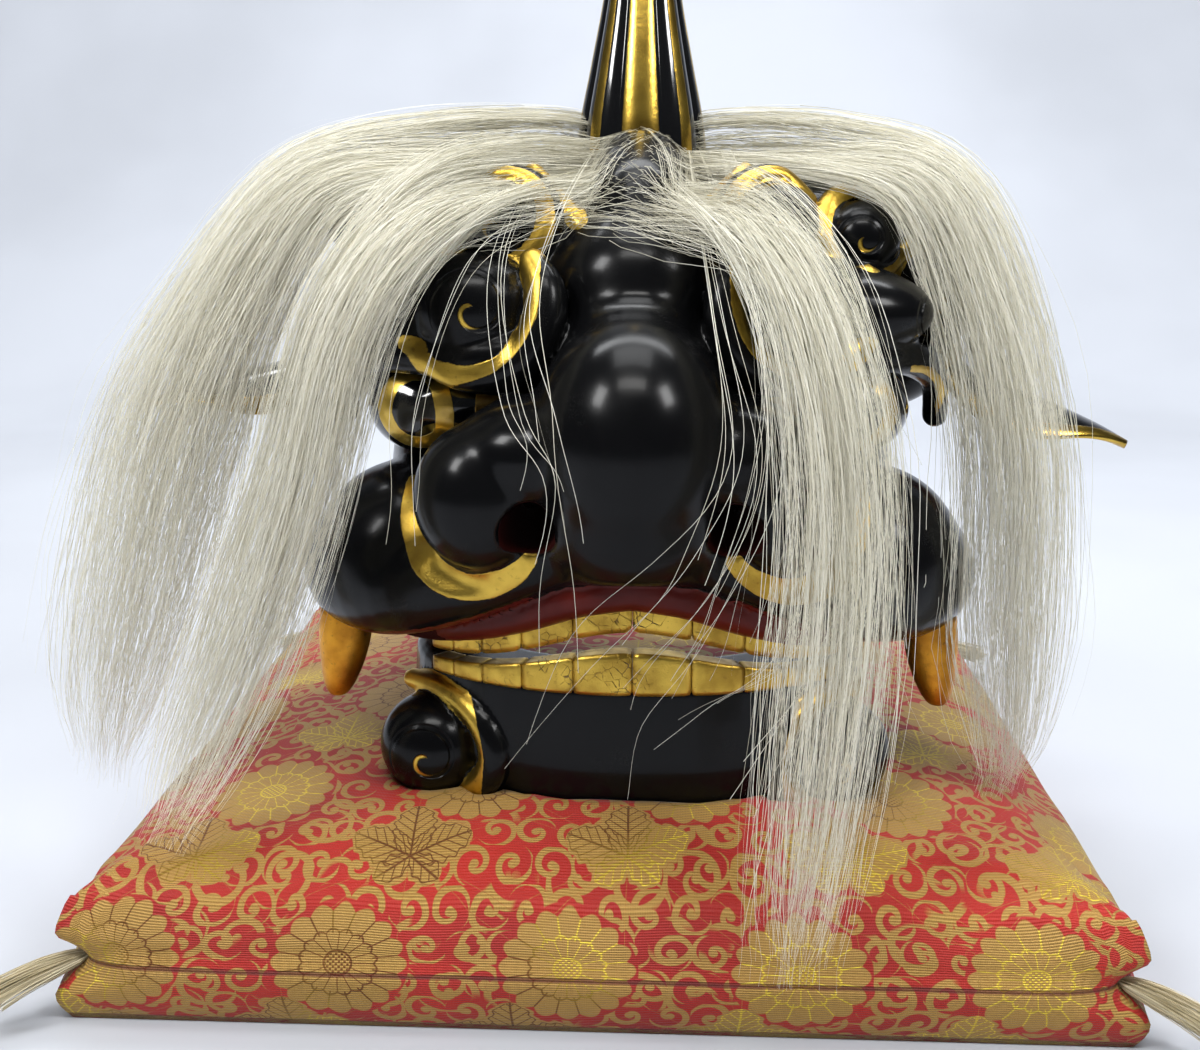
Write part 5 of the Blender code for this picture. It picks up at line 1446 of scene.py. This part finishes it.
# Tassels.
def tassel_strands(side_x, side_y, seed):
    """Thread ends that leave a cushion corner in a loose bundle."""
    rng = np.random.default_rng(seed)
    start = cushion_side(np.array(float(side_x)), np.array(float(side_y)), 0.5)
    out = np.array((side_x, side_y * 0.55, 0.0))
    out /= np.linalg.norm(out)
    across = np.array((-out[1], out[0], 0.0))
    n, m = 260, 14
    t = np.linspace(0, 1, m)[None, :]
    a = rng.uniform(0, 2 * math.pi, n)
    r = np.sqrt(rng.random(n))
    neck = 1 - 0.72 * np.exp(-(((t - 0.16) / 0.09) ** 2))
    spread = (0.42 + 0.75 * smooth(t * 1.6)) * neck
    reach = rng.uniform(0.80, 1.04, n)[:, None] * 48
    wave = rng.normal(0, 1, (n, 2))
    q = start + out * (t * reach - 8.0)[..., None]
    q = q + across * ((r * np.cos(a))[:, None] * 5.2 * spread + wave[:, :1] * 0.9 * t**2)[..., None]
    q[..., 2] += (r * np.sin(a))[:, None] * 3.6 * spread + wave[:, 1:] * 0.8 * t**2 - 10 * t**2
    w = np.full((n, m), 0.42)
    return (q, w, rng.random(n), rng.normal(0, 1.2, n), np.broadcast_to((0.0, 0.0, 1.0), q.shape),
            np.broadcast_to(across, q.shape))


THREAD = hair_material("tassel_thread", (0.84, 0.76, 0.55, 1), (0.62, 0.52, 0.32, 1), 0.55)


def make_tassel(name, side_x, side_y, seed):
    made = ribbon_object(name, [tassel_strands(side_x, side_y, seed)], THREAD)
    return made


CORNERS = {"front_left": (-1, -1), "front_right": (1, -1), "rear_left": (-1, 1), "rear_right": (1, 1)}
tassels = {word: make_tassel("tassel_threads_" + word, x, y, 40 + i)
           for i, (word, (x, y)) in enumerate(CORNERS.items())}

# What each piece is made of, the body it rides and the CAD nodes it stands for.
BLACK = lacquer("black_lacquer", (
    ((57, -118, 251), 17.0, 1.0, 1.35, 0.2), ((51, -103, 279), 12.0, 1.0, 1.3, 0.1),
    ((84, -88, 274), 11.0, -1.0, 1.3, 0.3), ((112, -66, 249), 16.0, -1.0, 1.5, 0.55)))
JAW_BLACK = lacquer("jaw_lacquer", (((78, -121, 81.5), 16.0, 1.0, 1.45, 0.15),))
TEETH_GOLD = gold_material("tooth_gold", cracked=True, rough=0.34)
FANG_GOLD = gold_material("fang_gold", warm=True, rough=0.42)
EYE, EAR, HORN = eye_material("eye_paint"), ear_material("ear_paint"), horn_material("horn_paint")
CLOTH, WOOD = brocade("kinran_brocade"), plain_material("oak", (0.30, 0.17, 0.07, 1), 0.55, 0.0004, 300)


def settle(thing, body_name, material_made, slot_name, *nodes):
    """Gives a piece its material and its body, and hides the CAD nodes that it stands for; its slot name is
    not used.
    """
    if material_made is not None:
        thing.data.materials.clear()
        thing.data.materials.append(material_made)
    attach(thing, body_name)
    if nodes:
        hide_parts(*nodes)


settle(skull, "head", BLACK, "black_lacquer", "skull")
settle(jaw, "base", JAW_BLACK, "black_lacquer", "jaw")
settle(upper_teeth, "head", TEETH_GOLD, "gold_leaf", "upper_teeth")
settle(lower_teeth, "base", TEETH_GOLD, "gold_leaf", "lower_teeth")
settle(horn, "head", HORN, "black_lacquer", "horn")
for side, word in ((1, "right"), (-1, "left")):
    settle(fangs[side], "head", FANG_GOLD, "gold_leaf", "fang_" + word)
    settle(eyes[side], "head", EYE, "gold_leaf", "eye_" + word)
    settle(ears[side], "head", EAR, "black_lacquer", "ear_" + word)
    settle(pins[side], "base", WOOD, "oak_pin", "hinge_pin_" + word)
    settle(hair[word, 0], "head", None, "horsehair", "mane_" + word)
    settle(hair[word, 1], "head", None, "horsehair", "mane_" + word)
for word in CORNERS:
    settle(tassels[word], "base", None, "cream_thread", "tassel_" + word)
settle(cushion, "base", CLOTH, "brocade", "cushion")

# Stage, light and camera.
def make_sweep():
    """A pale paper sweep: flat under the cushion and rising in a wide curve behind it."""
    profile = [(-3.0, 0.0), (1.1, 0.0)]
    profile += [(1.1 + 1.2 * math.sin(a), 1.2 - 1.2 * math.cos(a))
                for a in np.linspace(0.05, math.pi / 2, 24)]
    profile += [(2.3, 4.0)]
    points = np.array([(x, y, z - 0.0002) for y, z in profile for x in (-4.0, 4.0)])
    k = np.arange(len(profile) - 1) * 2
    return mesh_object("paper_sweep", points, np.stack([k, k + 1, k + 3, k + 2], 1))


sweep = make_sweep()
sweep.data.materials.append(plain_material("pale_paper", (0.60, 0.625, 0.68, 1), 0.85, 0.0, 1.0))

world = bpy.data.worlds.new("studio")
bpy.context.scene.world = world
world.use_nodes = True
world.node_tree.nodes["Background"].inputs["Color"].default_value = (0.80, 0.86, 0.95, 1)
world.node_tree.nodes["Background"].inputs["Strength"].default_value = 0.07
bpy.context.scene.view_settings.view_transform = "Standard"
cycles = bpy.context.scene.cycles
cycles.max_bounces, cycles.diffuse_bounces, cycles.glossy_bounces, cycles.transmission_bounces = 4, 2, 3, 1
cycles.caustics_reflective = cycles.caustics_refractive = False


def area(name, place_at, aim, size, power, colour):
    """A rectangular light at a place, turned toward its aim, in metres and watts."""
    data = bpy.data.lights.new(name, "AREA")
    data.shape = "RECTANGLE"
    data.size, data.size_y = size
    data.energy = power
    data.color = colour
    made = bpy.data.objects.new(name, data)
    bpy.context.scene.collection.objects.link(made)
    made.location = place_at
    made.rotation_mode = "QUATERNION"
    made.rotation_quaternion = (Vector(aim) - Vector(place_at)).to_track_quat("-Z", "Y")
    return made


LIGHTS = (
    # name, place, aim, size, power, colour
    ("key_left", (-1.0, -0.9, 1.35), (0, -0.05, 0.18), (0.35, 0.5), 14, (1, 1, 1)),
    ("key_right", (1.1, -0.85, 1.4), (0, -0.05, 0.18), (0.35, 0.5), 13, (1, 1, 1)),
    ("front", (0.0, -1.2, 2.2), (0, -0.1, 0.10), (1.2, 0.4), 19, (1, 0.99, 0.97)),
    ("top", (0.0, -0.1, 1.8), (0, 0.0, 0.1), (1.0, 0.6), 11, (0.97, 0.985, 1)),
    ("paper_light", (0.0, 0.9, 2.6), (0, 1.9, 0.7), (3.0, 0.6), 72, (0.96, 0.98, 1)),
)
for light in LIGHTS:
    area(*light)

camera_data = bpy.data.cameras.new("camera")
camera = bpy.data.objects.new("camera", camera_data)
bpy.context.scene.collection.objects.link(camera)
bpy.context.scene.camera = camera
camera_data.sensor_width = 36
camera_data.lens = 42
camera.location = (0.024, -0.632, 0.292)
PITCH, YAW = math.radians(13.46), math.radians(2.8)
ahead = Vector((-math.sin(YAW) * math.cos(PITCH), math.cos(YAW) * math.cos(PITCH), -math.sin(PITCH)))
camera.rotation_mode = "QUATERNION"
camera.rotation_quaternion = ahead.to_track_quat("-Z", "Y")
